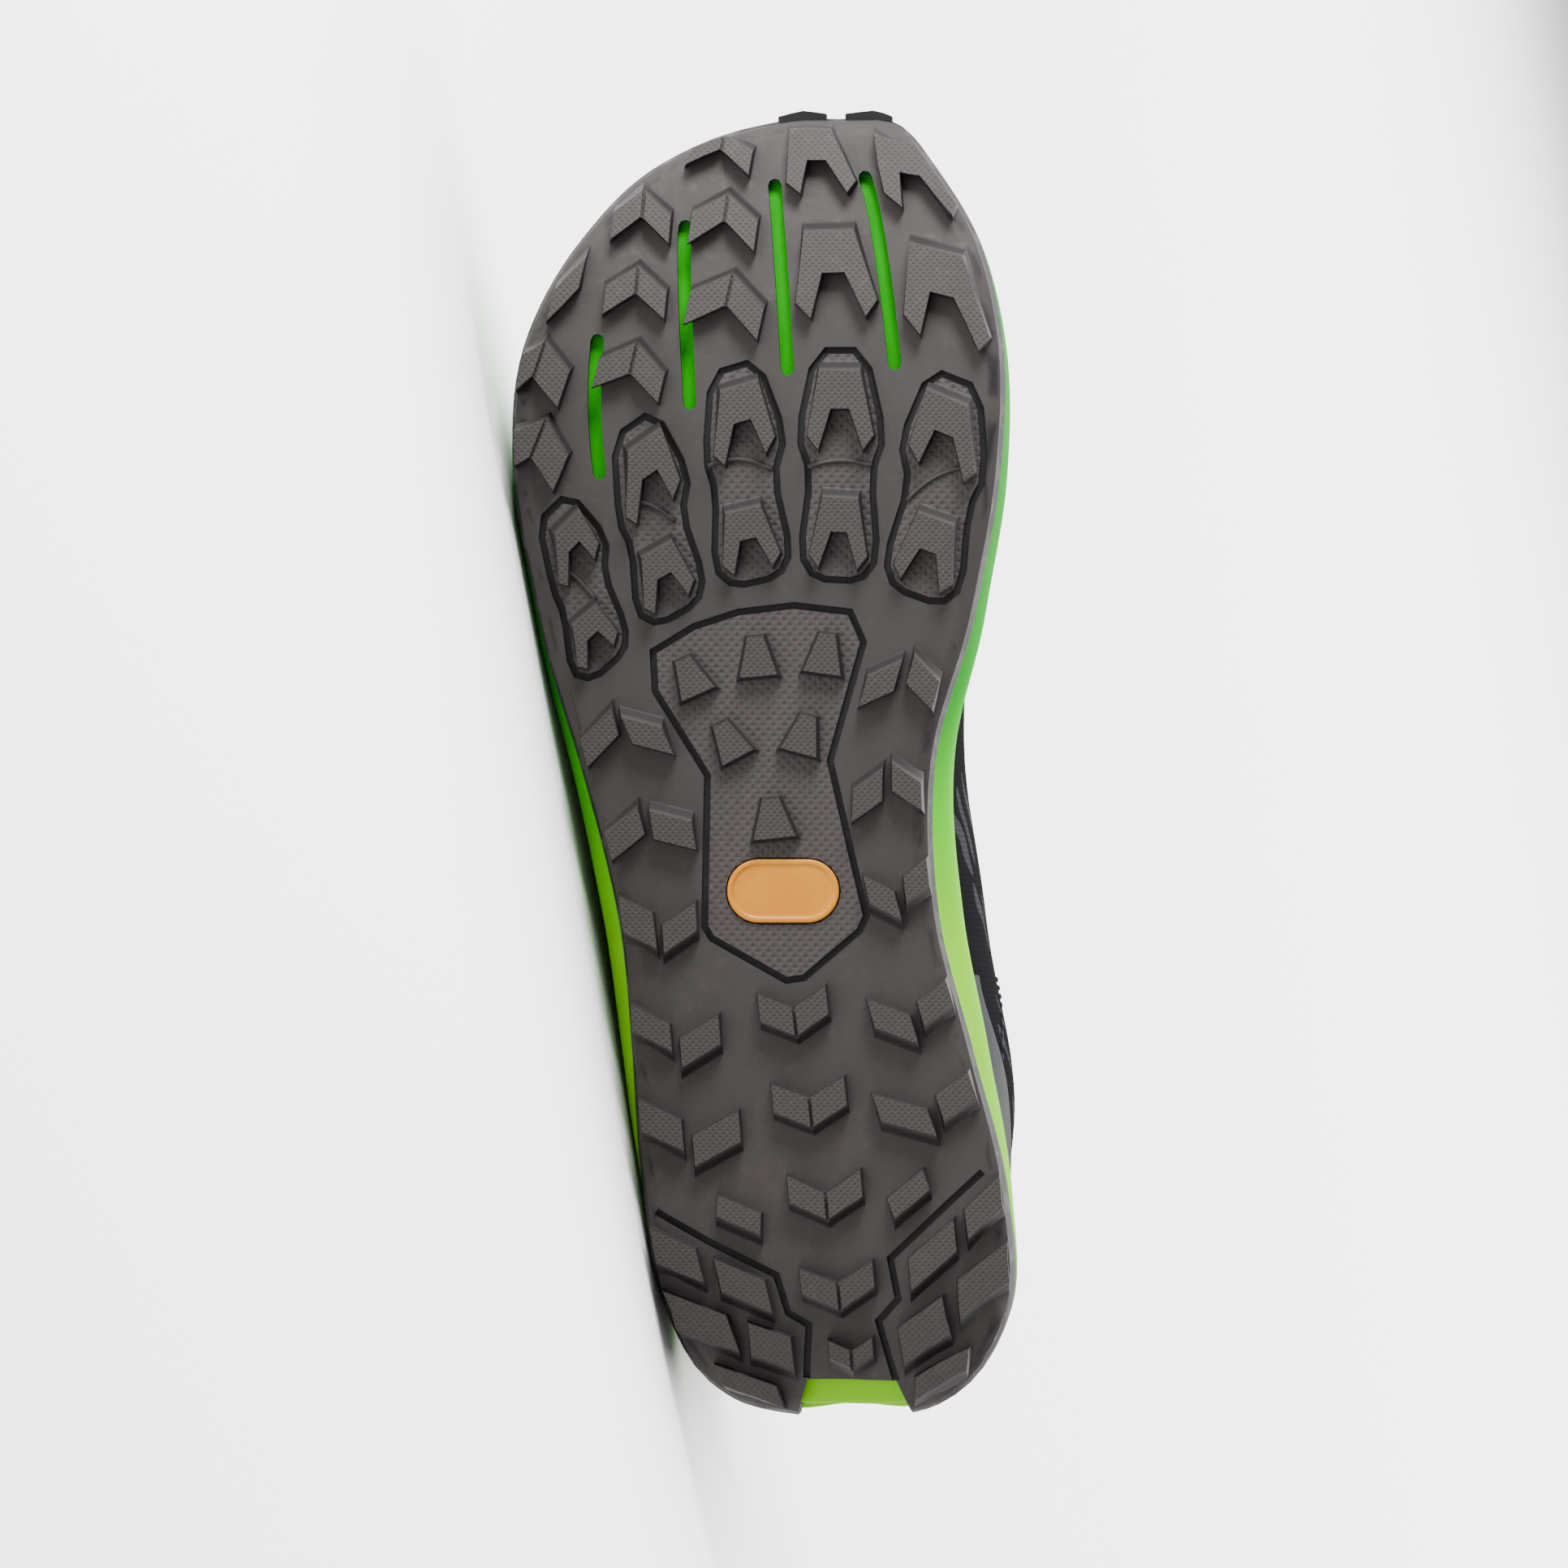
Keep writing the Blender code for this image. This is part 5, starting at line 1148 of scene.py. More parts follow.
def inlay_piece(material):
    """Plain rounded inlay with a raised rim round a slightly sunk face."""
    centre = plan(*INLAY_CENTRE)
    arm = (INLAY_WIDTH - INLAY_LENGTH) / 2
    rings = []
    for inset, rise in INLAY_STEPS:
        radius = INLAY_LENGTH / 2 - inset
        ring = []
        for side in (1, -1):
            for step in range(INLAY_ARC_STEPS + 1):
                angle = math.pi * step / INLAY_ARC_STEPS
                along, across = math.cos(angle) * radius, math.sin(angle) * radius + arm
                spot = centre + Vector((side * along, side * across))
                ring.append((spot.x, spot.y, ground(spot.x) + LUG_HEIGHT - rise))
        rings.append(ring)
    rings = [drawn_together(rings[0]), *rings, drawn_together(rings[-1])]
    return settled(ring_piece("inlay_face", rings, [material]), "inlay_rubber", "sole_inlay")


# Midsole

SIDE_GROOVES = ((0.41, 0.0012, 0.042), (0.76, 0.0012, 0.045))
SIDE_ROWS = 30
SIDE_FOOT_ROUNDING = 0.0007
# Between the two heel corners of the rubber, the foam's end is drawn in round this place across
HEEL_END = 0.012
HEEL_TUCK = 0.0022
HEEL_TUCK_MIDDLE = 0.0134
HEEL_TUCK_WIDTH = 0.0125


def level_ring(inward_for, height_for):
    ring = []
    for column in COLUMNS:
        point = column.at(inward_for(column))
        ring.append((point.x, point.y, height_for(column, point)))
    return ring


def tray_ring(skin, angle):
    radius = EDGE_ROLL - skin
    inward = EDGE_ROLL - radius * math.sin(math.radians(angle))
    height = EDGE_ROLL - radius * math.cos(math.radians(angle))
    return level_ring(lambda column: inward, lambda column, point: ground(point.x) + LUG_HEIGHT + height)


def spine_ring(share, height):
    ring = []
    for column in COLUMNS:
        point = column.toward_spine(EDGE_ROLL, share)
        ring.append((point.x, point.y, ground(point.x) + LUG_HEIGHT + height))
    return ring


def side_ring(share):
    """Ring of the foam's side, with two long grooves and rounded edges."""
    inside = SIDE_FOOT_ROUNDING * dip(share, 0.07) + RIM_ROUNDING * dip(1 - share, 0.05)
    for middle, depth, width in SIDE_GROOVES:
        inside += depth * dip(share - middle, width)
    ring = []
    for column in COLUMNS:
        low = LUG_HEIGHT + EDGE_ROLL + column.wrap + GAP + ground(column.edge.x)
        high = footbed(column.edge.x) + RIM_HEIGHT
        flare = column.flare * ease(share / SIDE_WIDEST)
        lean = column.lean * ease((share - SIDE_WIDEST) / (1 - SIDE_WIDEST))
        tuck = 0.0
        if column.edge.x < HEEL_END:
            tuck = HEEL_TUCK * dip(column.edge.y - HEEL_TUCK_MIDDLE, HEEL_TUCK_WIDTH)
        point = column.at(inside - flare + max(lean, tuck))
        ring.append((point.x, point.y, blend(low, high, share)))
    return ring


def footbed_ring(share):
    ring = []
    for column in COLUMNS:
        point = column.feather.lerp(column.spine, share)
        ring.append((point.x, point.y, footbed(point.x)))
    return ring


def midsole_piece(material):
    inner = OUTSOLE_THICKNESS + GAP
    rings = [spine_ring(1, inner), spine_ring(0.5, inner)]
    rings += [tray_ring(inner, angle) for angle in (0, 45, 90)]
    rings.append(level_ring(
        lambda column: inner,
        lambda column, point: ground(point.x) + LUG_HEIGHT + EDGE_ROLL + column.wrap,
    ))
    rings += [side_ring(row / (SIDE_ROWS - 1)) for row in range(SIDE_ROWS)]
    top, floor = [], []
    for column in COLUMNS:
        wall = column.wall(column.share_at_height(RIM_HEIGHT))
        beside = wall.xy + column.outward * (GAP * 1.4)
        foot = column.feather + column.outward * (GAP * 1.4)
        top.append((beside.x, beside.y, column.curve[0].z - GAP + RIM_HEIGHT))
        floor.append((foot.x, foot.y, footbed(foot.x)))
    rings += [top, floor, footbed_ring(0.5), footbed_ring(1)]
    return settled(ring_piece("midsole_body", rings, [material]), "midsole_foam", "midsole")


# Insole, from the middle of its underside round its edge to the middle of its top: the share of the
# way to the spine, the height over the underside and the inset from its edge
INSOLE_STEPS = (
    (1, 0.0, 0.0), (0.5, 0.0, 0.0), (0, 0.0, 0.0), (0, 0.0026, 0.0001), (0, 0.0034, 0.0009),
    (0.04, 0.0035, 0.0014), (0.5, 0.0032, 0.0), (1, 0.0032, 0.0),
)


def insole_piece(material):
    low = GAP * 2 + UPPER_WALL
    side = UPPER_WALL + GAP * 5
    rings = []
    for share, height, inset in INSOLE_STEPS:
        ring = []
        for column in COLUMNS:
            point = column.feather - column.outward * (side + inset)
            point = point.lerp(column.spine, share)
            ring.append((point.x, point.y, footbed(point.x) + low + height))
        rings.append(ring)
    return settled(ring_piece("insole_bed", rings, [material]), "insole_foam", "insole")


# Upper

WALL_ROWS = 34
NORMAL_STEP = 0.01
CLOTH_ROUNDING = 0.0008
FILM_ROUNDING = 0.0004
FILM_OFF_WALL = GAP * 0.8
FILM_END_HEIGHT = 0.45
# Collar's padding: its depth, how fast it swells, and how much thinner the lip is from which share
PADDING_DEPTH = 0.030
PADDING_SWELLS = 1.6
LIP_THINNER = 0.45
LIP_FROM = 0.93


def crease(point):
    """Depth of the soft troughs across the vamp at a point of the wall."""
    share = (point.x + abs(point.y) * CREASE_LEAN) / SOLE_LENGTH
    rise = ease((point.z - footbed(point.x) - CREASE_FROM) / CREASE_DEEPENS_OVER)
    return sum(depth * dip((share - place) * SOLE_LENGTH, width) for place, depth, width in CREASES) * rise


def wall_normal(index, share):
    before, column, after = COLUMNS[index - 1], COLUMNS[index], COLUMNS[(index + 1) % COUNT]
    around = after.wall(share) - before.wall(share)
    along = column.wall(min(1.0, share + NORMAL_STEP)) - column.wall(max(0.0, share - NORMAL_STEP))
    return along.cross(around).normalized()


def wall_point(index, share, out=0.0):
    """Point of the outer wall with its creases, moved out along its normal."""
    point = COLUMNS[index].wall(share)
    normal = wall_normal(index, share)
    return point + normal * (out - crease(point))


def collar_weight(column, share):
    """How much of the collar's padding a point of the wall has, less at the lip than below it."""
    around = ease((PADDED_TO_SECTION - section_of(column.place)) / PADDING_FADES_OVER)
    start = column.share_from_edge(PADDING_DEPTH)
    up = ease((share - start) / max(0.05, 1 - start) * PADDING_SWELLS)
    lip = 1 - LIP_THINNER * ease((share - LIP_FROM) / (1 - LIP_FROM))
    return around * up * lip


def upper_piece(outer, lining):
    """Hollow upper: one wall with its lasting margin, thicker where the collar is padded."""
    grid = []
    for index, column in enumerate(COLUMNS):
        margin = column.feather - column.outward * LASTING_MARGIN
        line = [Vector((margin.x, margin.y, footbed(margin.x) + GAP))]
        line += [wall_point(index, row / (WALL_ROWS - 1)) for row in range(WALL_ROWS)]
        grid.append(line)
    piece = grid_piece("upper_shell", grid, [outer, lining], cyclic=True)
    weights = piece.vertex_groups.new(name="padding")
    thin = UPPER_WALL / COLLAR_PAD
    for index, column in enumerate(COLUMNS):
        for row in range(WALL_ROWS + 1):
            padded = collar_weight(column, (row - 1) / (WALL_ROWS - 1)) if row else 0.0
            weights.add([index * (WALL_ROWS + 1) + row], blend(thin, 1.0, padded), "REPLACE")
    modifier(piece, "wall", "SOLIDIFY", thickness=COLLAR_PAD, offset=-1, use_even_offset=True,
             vertex_group="padding", material_offset=1, material_offset_rim=1)
    rounded(piece, CLOTH_ROUNDING, 3, 60)
    return settled(piece, "upper_mesh", "upper")


def columns_between(low, high, side=0):
    chosen = []
    for index, column in enumerate(COLUMNS):
        if side and (column.place <= LOOP.half) != (side > 0):
            continue
        if low <= section_of(column.place) <= high:
            chosen.append(index)
    return chosen


def evened(values, passes):
    """The values of a row of columns, each drawn to its neighbours, so that an edge runs smooth."""
    for _ in range(passes):
        values = [
            (values[max(index - 1, 0)] + 2 * value + values[min(index + 1, len(values) - 1)]) / 4
            for index, value in enumerate(values)
        ]
    return values


def rim_share(column):
    """Share of a column's wall where the overlays start, just above the foam's rim."""
    return column.share_at_height(RIM_HEIGHT + OVERLAY_ABOVE_RIM)


def cap_shares(column):
    """Shares of a column's wall from the foam's rim to the toe cap's bowed back edge."""
    def in_cap(point):
        return point.x > CAP_MIDDLE - CAP_SWEEP * ((point.y - CAP_AXIS) / BALL_WIDTH * 2) ** 2

    low = rim_share(column)
    return low, column.last_share(low, in_cap)


def band_shares(column):
    """Shares of a column's wall from the foam's rim to the height of the section's band."""
    low = rim_share(column)
    return low, max(column.share_at_height(column.band), low + OVERLAY_LEAST)


def eyestay_shares(column):
    """Shares of a column's wall from the eyestay's outer edge, nearer at its front, to the throat."""
    front = ease((section_of(column.place) - EYESTAY_NARROWS) / (EYESTAY_END - EYESTAY_NARROWS))
    return column.share_from_edge(EYESTAY_WIDTH * (1 - EYESTAY_END_CUT * front)), 1.0


def cap_columns():
    """Columns of the toe whose wall passes the cap's back edge far enough above the rim."""
    shares = {index: cap_shares(COLUMNS[index]) for index in columns_between(CAP_FROM, LOOP.half)}
    return [index for index, (low, high) in shares.items() if high > low + CAP_LEAST]


def round_the_heel(section):
    """Columns from the lateral side round the heel to the medial side, up to a section."""
    chosen = columns_between(0, section)
    return sorted(chosen, key=lambda index: index - COUNT if index > COUNT / 2 else index)


def overlay_piece(name, chosen, share_range, rows, material, node, taper=0.0, passes=400):
    """Film over the wall between two heights of some columns, lower toward its ends."""
    lows, highs = zip(*[share_range(COLUMNS[index]) for index in chosen])
    highs = evened(highs, passes)
    grid = []
    for order, index in enumerate(chosen):
        low, high = lows[order], highs[order]
        if taper:
            end = min(order, len(chosen) - 1 - order) / max(1, len(chosen) * taper)
            high = blend(blend(low, high, FILM_END_HEIGHT), high, ease(end))
        grid.append([
            wall_point(index, blend(low, high, row / (rows - 1)), FILM_OFF_WALL) for row in range(rows)
        ])
    piece = grid_piece(name, grid, [material])
    walled(piece, FILM_THICKNESS, True, FILM_ROUNDING)
    return settled(piece, "overlay_film", node)


def throat_spot(along, side, from_edge):
    """Point and outward normal of the wall beside the throat, at a share of the length."""
    beside = columns_between(THROAT_FROM_SECTION, LOOP.half - 1, side)
    pairs = sorted((COLUMNS[index].wall(1.0).x, index) for index in beside)
    target = along * SOLE_LENGTH
    for (x0, first), (x1, second) in zip(pairs, pairs[1:]):
        if x0 <= target <= x1:
            share = (target - x0) / (x1 - x0)
            ends = []
            for index in (first, second):
                v = COLUMNS[index].share_from_edge(from_edge)
                ends.append((COLUMNS[index].wall(v), wall_normal(index, v)))
            return ends[0][0].lerp(ends[1][0], share), ends[0][1].lerp(ends[1][1], share).normalized()
    raise ValueError("no column beside the throat at this share of the length")


def eyelet_alongs():
    shares = [index / (EYELET_COUNT - 1) for index in range(EYELET_COUNT)]
    return [blend(EYELET_FIRST_ALONG, EYELET_LAST_ALONG, share) for share in shares]


def eyelet_spots():
    return [throat_spot(along, side, EYELET_FROM_EDGE) for side in (1, -1) for along in eyelet_alongs()]


def eyelet_punch():
    """Cutter for the eyelets, through the eyestays and the wall."""
    lines = []
    for spot, normal in eyelet_spots():
        lines.append([(spot + normal * way * PUNCH_REACH, normal.orthogonal()) for way in (-1, 1)])
    punch = tube_piece("eyelet_punch", lines, EYELET_HOLE / 2, EYELET_HOLE / 2, [], 16)
    faced_outwards(punch.data)
    return punch


def punched(piece, punch):
    """Takes the piece's wall into its mesh and cuts the eyelets out of it."""
    modifier(piece, "eyelets", "BOOLEAN", operation="DIFFERENCE", object=punch, solver="EXACT")
    mesh = plain_mesh(piece)
    piece.modifiers.clear()
    piece.data = mesh


# Tongue, laces and pull tab

def tongue_line(along):
    """Points of the tongue across the throat, crowned between the throat's edges, at a place along."""
    sides = {}
    for side in (1, -1):
        sides[side] = []
        for reach in TONGUE_REACHES:
            spot, normal = throat_spot(along, side, reach)
            sides[side].append(spot - normal * (UPPER_WALL + GAP * 3))
    lateral, medial = sides[-1][0], sides[1][0]
    crossed = []
    for step in range(TONGUE_STEPS + 1):
        share = step / TONGUE_STEPS
        crown = math.sin(math.pi * share) * (medial - lateral).length * THROAT_CROWN
        crossed.append(lateral.lerp(medial, share) + Vector((0, 0, crown)))
    return [*sides[-1][:0:-1], *crossed, *sides[1][1:]]


def tongue_piece(cloth):
    """Padded tongue under the throat, whose end stands out narrower past the top eyelets."""
    first = EYELET_FIRST_ALONG - TONGUE_PAST_EYELETS
    shares = [(index / (TONGUE_ROWS - 1)) ** TONGUE_ROW_POWER for index in range(TONGUE_ROWS)]
    grid = [tongue_line(blend(TONGUE_FRONT, first, share)) for share in shares]
    top = grid[-1]
    centre = top[len(top) // 2]
    way = (centre - grid[-5][len(top) // 2]).normalized()
    for step in range(1, TONGUE_TIP_ROWS + 1):
        share = step / TONGUE_TIP_ROWS
        narrow = 1 - TONGUE_NARROWING * ease(share * 1.5) - max(0.0, share - 0.75) ** 2
        lift = way * TONGUE_ABOVE_THROAT * share
        grid.append([centre + (point - centre) * narrow + lift for point in top])
    piece = grid_piece("tongue_pad", grid, [cloth])
    walled(piece, TONGUE_THICKNESS, False)
    rounded(piece, TONGUE_ROUNDING, 3, 50)
    return settled(piece, "tongue_mesh", "tongue")


def lace_line(side, along_start, along_end, end_reach, sink):
    """Lace from inside an eyelet over the tongue to the throat's other edge, as (point, normal)."""
    start, start_normal = throat_spot(along_start, side, EYELET_FROM_EDGE)
    end, end_normal = throat_spot(along_end, -side, end_reach)
    near, near_normal = throat_spot(along_start, side, THROAT_EDGE_REACH)
    far, far_normal = throat_spot(along_end, -side, THROAT_EDGE_REACH)
    across = (near - far).length
    aside = (start - near).normalized() * LACE_ASIDE
    line = [
        (start - start_normal * LACE_START_DEPTH + aside, start_normal),
        (start - start_normal * LACE_TURN_DEPTH + aside, start_normal),
        (start + start_normal * LACE_RISE * 0.75, start_normal),
    ]
    for step in range(LACE_STEPS + 1):
        share = step / LACE_STEPS
        over = near_normal.lerp(far_normal, share).normalized()
        crown = math.sin(math.pi * share) * across * THROAT_CROWN
        line.append((near.lerp(far, share) + over * LACE_RISE + Vector((0, 0, crown)), over))
    line.append((end + end_normal * LACE_RISE * blend(1, LACE_SINK, sink), end_normal))
    return line


def rounded_line(line, steps=4):
    """The same line with its bends rounded, as a smooth curve through its points."""
    found = []
    count = len(line)
    for index in range(count - 1):
        a, b = line[max(index - 1, 0)][0], line[index][0]
        c, d = line[index + 1][0], line[min(index + 2, count - 1)][0]
        for step in range(steps):
            t = step / steps
            point = (b * 2 + (c - a) * t + (a * 2 - b * 5 + c * 4 - d) * t * t
                     + (b * 3 - a - c * 3 + d) * t**3) / 2
            found.append((point, line[index][1].lerp(line[index + 1][1], t).normalized()))
    found.append(line[-1])
    return found


def lace_pieces(material, width, thickness):
    """Crossings of the lace, one side's over the other's, and the bar with the lowest of them."""
    alongs = eyelet_alongs()
    for index in range(EYELET_COUNT - 1):
        lines = []
        for side, lifted in ((1, LACE_OVER), (-1, LACE_UNDER)):
            end = alongs[index] + LACE_SHORT_OF_EYELET
            line = lace_line(side, alongs[index + 1], end, LACE_END_REACH, 1)
            middle = len(line) // 2
            line = [
                (point + normal * thickness * lifted * dip(order - middle, LACE_CROSS_STEPS), normal)
                for order, (point, normal) in enumerate(line)
            ]
            lines.append(rounded_line(line))
        if index == EYELET_COUNT - 2:
            bar = lace_line(1, alongs[-1], alongs[-1], EYELET_FROM_EDGE, 0)
            lines.append(rounded_line(bar))
        piece = tube_piece("lace_over_" + str(index + 1), lines, width / 2, thickness / 2, [material])
        settled(piece, "lace_cord", "lace_crossing_" + str(index + 1))


def pull_loop_piece(material):
    """Folded webbing loop behind the collar's top edge."""
    top = COLUMNS[0].wall(1.0)
    low = COLUMNS[0].wall(COLUMNS[0].share_from_edge(EYESTAY_WIDTH))
    normal = wall_normal(0, 0.97)
    side = Vector((0, PULL_TAB_WIDTH / 2, 0))
    up = Vector((0, 0, PULL_TAB_HEIGHT))
    stations = [low.lerp(top, share) + normal * GAP for share in (0.35, 0.7)]
    for rise, out in ((0, GAP), (0.28, GAP), (0.56, GAP), (0.80, -0.0002), (0.97, -0.0010)):
        stations.append(top + normal * out + up * rise)
    last = len(stations) - 1
    grid = []
    for step in range(2 * PULL_TAB_STEPS + 1):
        across = side * (step / PULL_TAB_STEPS - 1)
        grid.append([
            station + across * blend(1.0, PULL_TAB_TAPER, level / last)
            for level, station in enumerate(stations)
        ])
    piece = grid_piece("pull_loop", grid, [material])
    walled(piece, PULL_TAB_THICKNESS, True, 0.0005)
    return settled(piece, "pull_tab_webbing", "pull_tab")


# Stitches and eyelet rings

def geometry_tree(name, sizes):
    """Nodes and inputs of a new tree: its places, the named sizes and the surface of what it makes."""
    tree = bpy.data.node_groups.new(name, "GeometryNodeTree")
    inputs = [("Places", "Geometry"), *[(label, "Float") for label in sizes], ("Surface", "Material")]
    for label, kind in inputs:
        tree.interface.new_socket(label, in_out="INPUT", socket_type="NodeSocket" + kind)
    tree.interface.new_socket("Pieces", in_out="OUTPUT", socket_type="NodeSocketGeometry")
    nodes = Nodes(tree)
    return nodes, nodes.add("NodeGroupInput").outputs


def finished_tree(nodes, entry, placed):
    """The tree, which ends with its instances made real, smooth and of its surface."""
    real = nodes.add("GeometryNodeRealizeInstances", {0: placed.outputs[0]})
    smooth = nodes.add("GeometryNodeSetShadeSmooth", {0: real.outputs[0]})
    dressed = nodes.add("GeometryNodeSetMaterial", {
        "Geometry": smooth.outputs[0], "Material": entry["Surface"],
    })
    nodes.add("NodeGroupOutput", {0: dressed.outputs[0]})
    return nodes.tree


def bead_tree():
    """Small beads along paths: stitches of a pitch, length and thread radius."""
    nodes, entry = geometry_tree("beads_on_path", ("Pitch", "Length", "Radius"))
    curve = nodes.add("GeometryNodeMeshToCurve", {0: entry["Places"]})
    spaced = nodes.add("GeometryNodeResampleCurve", {
        "Curve": curve.outputs[0], "Length": entry["Pitch"],
    }, mode="LENGTH")
    tangent = nodes.add("GeometryNodeInputTangent").outputs[0]
    turn = nodes.add("FunctionNodeAlignRotationToVector", {"Vector": tangent}, axis="X")
    bead = nodes.add("GeometryNodeMeshUVSphere", {"Segments": 6, "Rings": 4, "Radius": 1.0})
    half = nodes.math("MULTIPLY", entry["Length"], 0.5)
    size = nodes.add("ShaderNodeCombineXYZ", {0: half, 1: entry["Radius"], 2: entry["Radius"]})
    placed = nodes.add("GeometryNodeInstanceOnPoints", {
        "Points": spaced.outputs[0], "Instance": bead.outputs["Mesh"],
        "Rotation": turn.outputs[0], "Scale": size.outputs[0],
    })
    return finished_tree(nodes, entry, placed)


def ring_tree():
    """A moulded ring round each eyelet, turned by the point's own facing."""
    nodes, entry = geometry_tree("rings_on_points", ("Ring Radius", "Bead Radius"))
    circle, profile = [
        nodes.add("GeometryNodeCurvePrimitiveCircle", {"Resolution": sides, "Radius": entry[label]})
        for sides, label in ((20, "Ring Radius"), (8, "Bead Radius"))
    ]
    ring = nodes.add("GeometryNodeCurveToMesh", {
        "Curve": circle.outputs[0], "Profile Curve": profile.outputs[0],
    })
    facing = nodes.add("GeometryNodeInputNamedAttribute", {"Name": "facing"}, data_type="FLOAT_VECTOR")
    turn = nodes.add("FunctionNodeAlignRotationToVector", {"Vector": facing.outputs[0]}, axis="Z")
    placed = nodes.add("GeometryNodeInstanceOnPoints", {
        "Points": entry["Places"], "Instance": ring.outputs[0], "Rotation": turn.outputs[0],
    })
    return finished_tree(nodes, entry, placed)


def grown(name, mesh, tree, values):
    """Plain mesh piece that a tree of geometry nodes makes from a mesh of paths or points."""
    carrier = linked(name + "_path", mesh)
    change = carrier.modifiers.new(name, "NODES")
    change.node_group = tree
    for item in tree.interface.items_tree:
        if item.item_type == "SOCKET" and item.in_out == "INPUT" and item.name in values:
            change[item.identifier] = values[item.name]
    made = plain_mesh(carrier)
    bpy.data.objects.remove(carrier)
    return settled(linked(name, made), "overlay_film")


def path_mesh(lines):
    points, edges = [], []
    for line in lines:
        start = len(points)
        points += [ROW @ point for point in line]
        edges += [(start + step, start + step + 1) for step in range(len(line) - 1)]
    mesh = bpy.data.meshes.new("paths")
    mesh.from_pydata(points, edges, [])
    return mesh


def stitch_paths():
    """Seams: twice round the collar, and along both edges of each eyestay."""
    seams = [(round_the_heel(HEEL_STRIP_TO), reach, SEAM_ON_CLOTH) for reach in COLLAR_SEAMS]
    for side in (1, -1):
        chosen = columns_between(EYESTAY_SEAM_FROM, EYESTAY_NARROWS, side)
        seams += [(chosen, reach, SEAM_ON_FILM) for reach in EYESTAY_SEAMS]
    return [
        [wall_point(index, COLUMNS[index].share_from_edge(reach), out) for index in chosen]
        for chosen, reach, out in seams
    ]


def eyelet_mesh():
    spots = eyelet_spots()
    mesh = bpy.data.meshes.new("eyelet_places")
    mesh.from_pydata([ROW @ (spot + normal * EYELET_RING_RISE) for spot, normal in spots], [], [])
    facing = mesh.attributes.new("facing", "FLOAT_VECTOR", "POINT")
    for value, (_, normal) in zip(facing.data, spots):
        value.vector = ROW.to_3x3() @ normal
    return mesh


# Properties, operators and panel

class TrailShoeLooks(bpy.types.PropertyGroup):
    """Sizes and colours of the shoe's looks"""

    rubber: bpy.props.FloatVectorProperty(
        name="Rubber", description="Colour of the outsole between its lugs", subtype="COLOR", size=4,
        default=tone(39, 35, 35))
    # The lugs' tops are a darker copy of the rubber's colour: painted shade on the lit tops
    lug_tops_painted_shade: bpy.props.FloatVectorProperty(
        name="Lug Tops", description="Colour of the lugs' flat tops", subtype="COLOR", size=4,
        default=tone(34, 31, 30))
    inlay: bpy.props.FloatVectorProperty(
        name="Inlay", description="Colour of the small inlay under the arch", subtype="COLOR", size=4,
        default=tone(158, 97, 0))
    foam_forefoot: bpy.props.FloatVectorProperty(
        name="Forefoot Foam", description="Colour of the midsole at the forefoot", subtype="COLOR", size=4,
        default=tone(0, 128, 0))
    foam_heel: bpy.props.FloatVectorProperty(
        name="Heel Foam", description="Colour of the midsole from the arch to the heel", subtype="COLOR",
        size=4, default=tone(98, 164, 0))
    cloth: bpy.props.FloatVectorProperty(
        name="Mesh", description="Colour of the upper's mesh", subtype="COLOR", size=4,
        default=tone(6, 6, 8))
    strokes: bpy.props.FloatVectorProperty(
        name="Strokes", description="Colour of the strokes printed on the mesh", subtype="COLOR", size=4,
        default=tone(32, 33, 35))
    film: bpy.props.FloatVectorProperty(
        name="Film", description="Colour of the welded overlays", subtype="COLOR", size=4,
        default=tone(7, 9, 12))
    lug_rounding: bpy.props.FloatProperty(
        name="Lug Rounding", description="Width of the rounded edges of the lugs", subtype="DISTANCE",
        unit="LENGTH", default=0.00028, min=0.0)
    lace_width: bpy.props.FloatProperty(
        name="Lace Width", description="Width of the flat lace", subtype="DISTANCE", unit="LENGTH",
        default=0.0042, min=0.001)
    lace_thickness: bpy.props.FloatProperty(
        name="Lace Thickness", description="Thickness of the flat lace", subtype="DISTANCE",
        unit="LENGTH", default=0.0019, min=0.0005)
    stitch_pitch: bpy.props.FloatProperty(
        name="Stitch Pitch", description="Distance from stitch to stitch", subtype="DISTANCE",
        unit="LENGTH", default=0.0031, min=0.001)
    view_tilt: bpy.props.FloatProperty(
        name="View Tilt", description="How far the view leans toward the medial side", subtype="ANGLE",
        unit="ROTATION", default=math.radians(3.0))
    key_light: bpy.props.FloatProperty(
        name="Key Light", description="Power of the light from the toe side", subtype="POWER",
        unit="POWER", default=80.0, min=0.0)
    floor_light: bpy.props.FloatProperty(
        name="Floor Light", description="Power of the wide light over the floor behind the shoe",
        subtype="POWER", unit="POWER", default=2000.0, min=0.0)


def looks():
    return bpy.context.scene.trail_shoe_looks


class TRAILSHOE_OT_outsole(bpy.types.Operator):
    """Adds the rubber outsole with its lugs, sipes and pod bands"""

    bl_idname = "trail_shoe.outsole"
    bl_label = "Outsole"

    def execute(self, context):
        rubber = tread_rubber(tuple(looks().rubber), tuple(looks().lug_tops_painted_shade))
        outsole_piece(rubber, looks().lug_rounding)
        pod_band_piece(rubber)
        return {"FINISHED"}


class TRAILSHOE_OT_inlay(bpy.types.Operator):
    """Adds the plain inlay under the arch, with its raised rim"""

    bl_idname = "trail_shoe.inlay"
    bl_label = "Inlay"

    def execute(self, context):
        inlay_piece(inlay_rubber(tuple(looks().inlay)))
        return {"FINISHED"}


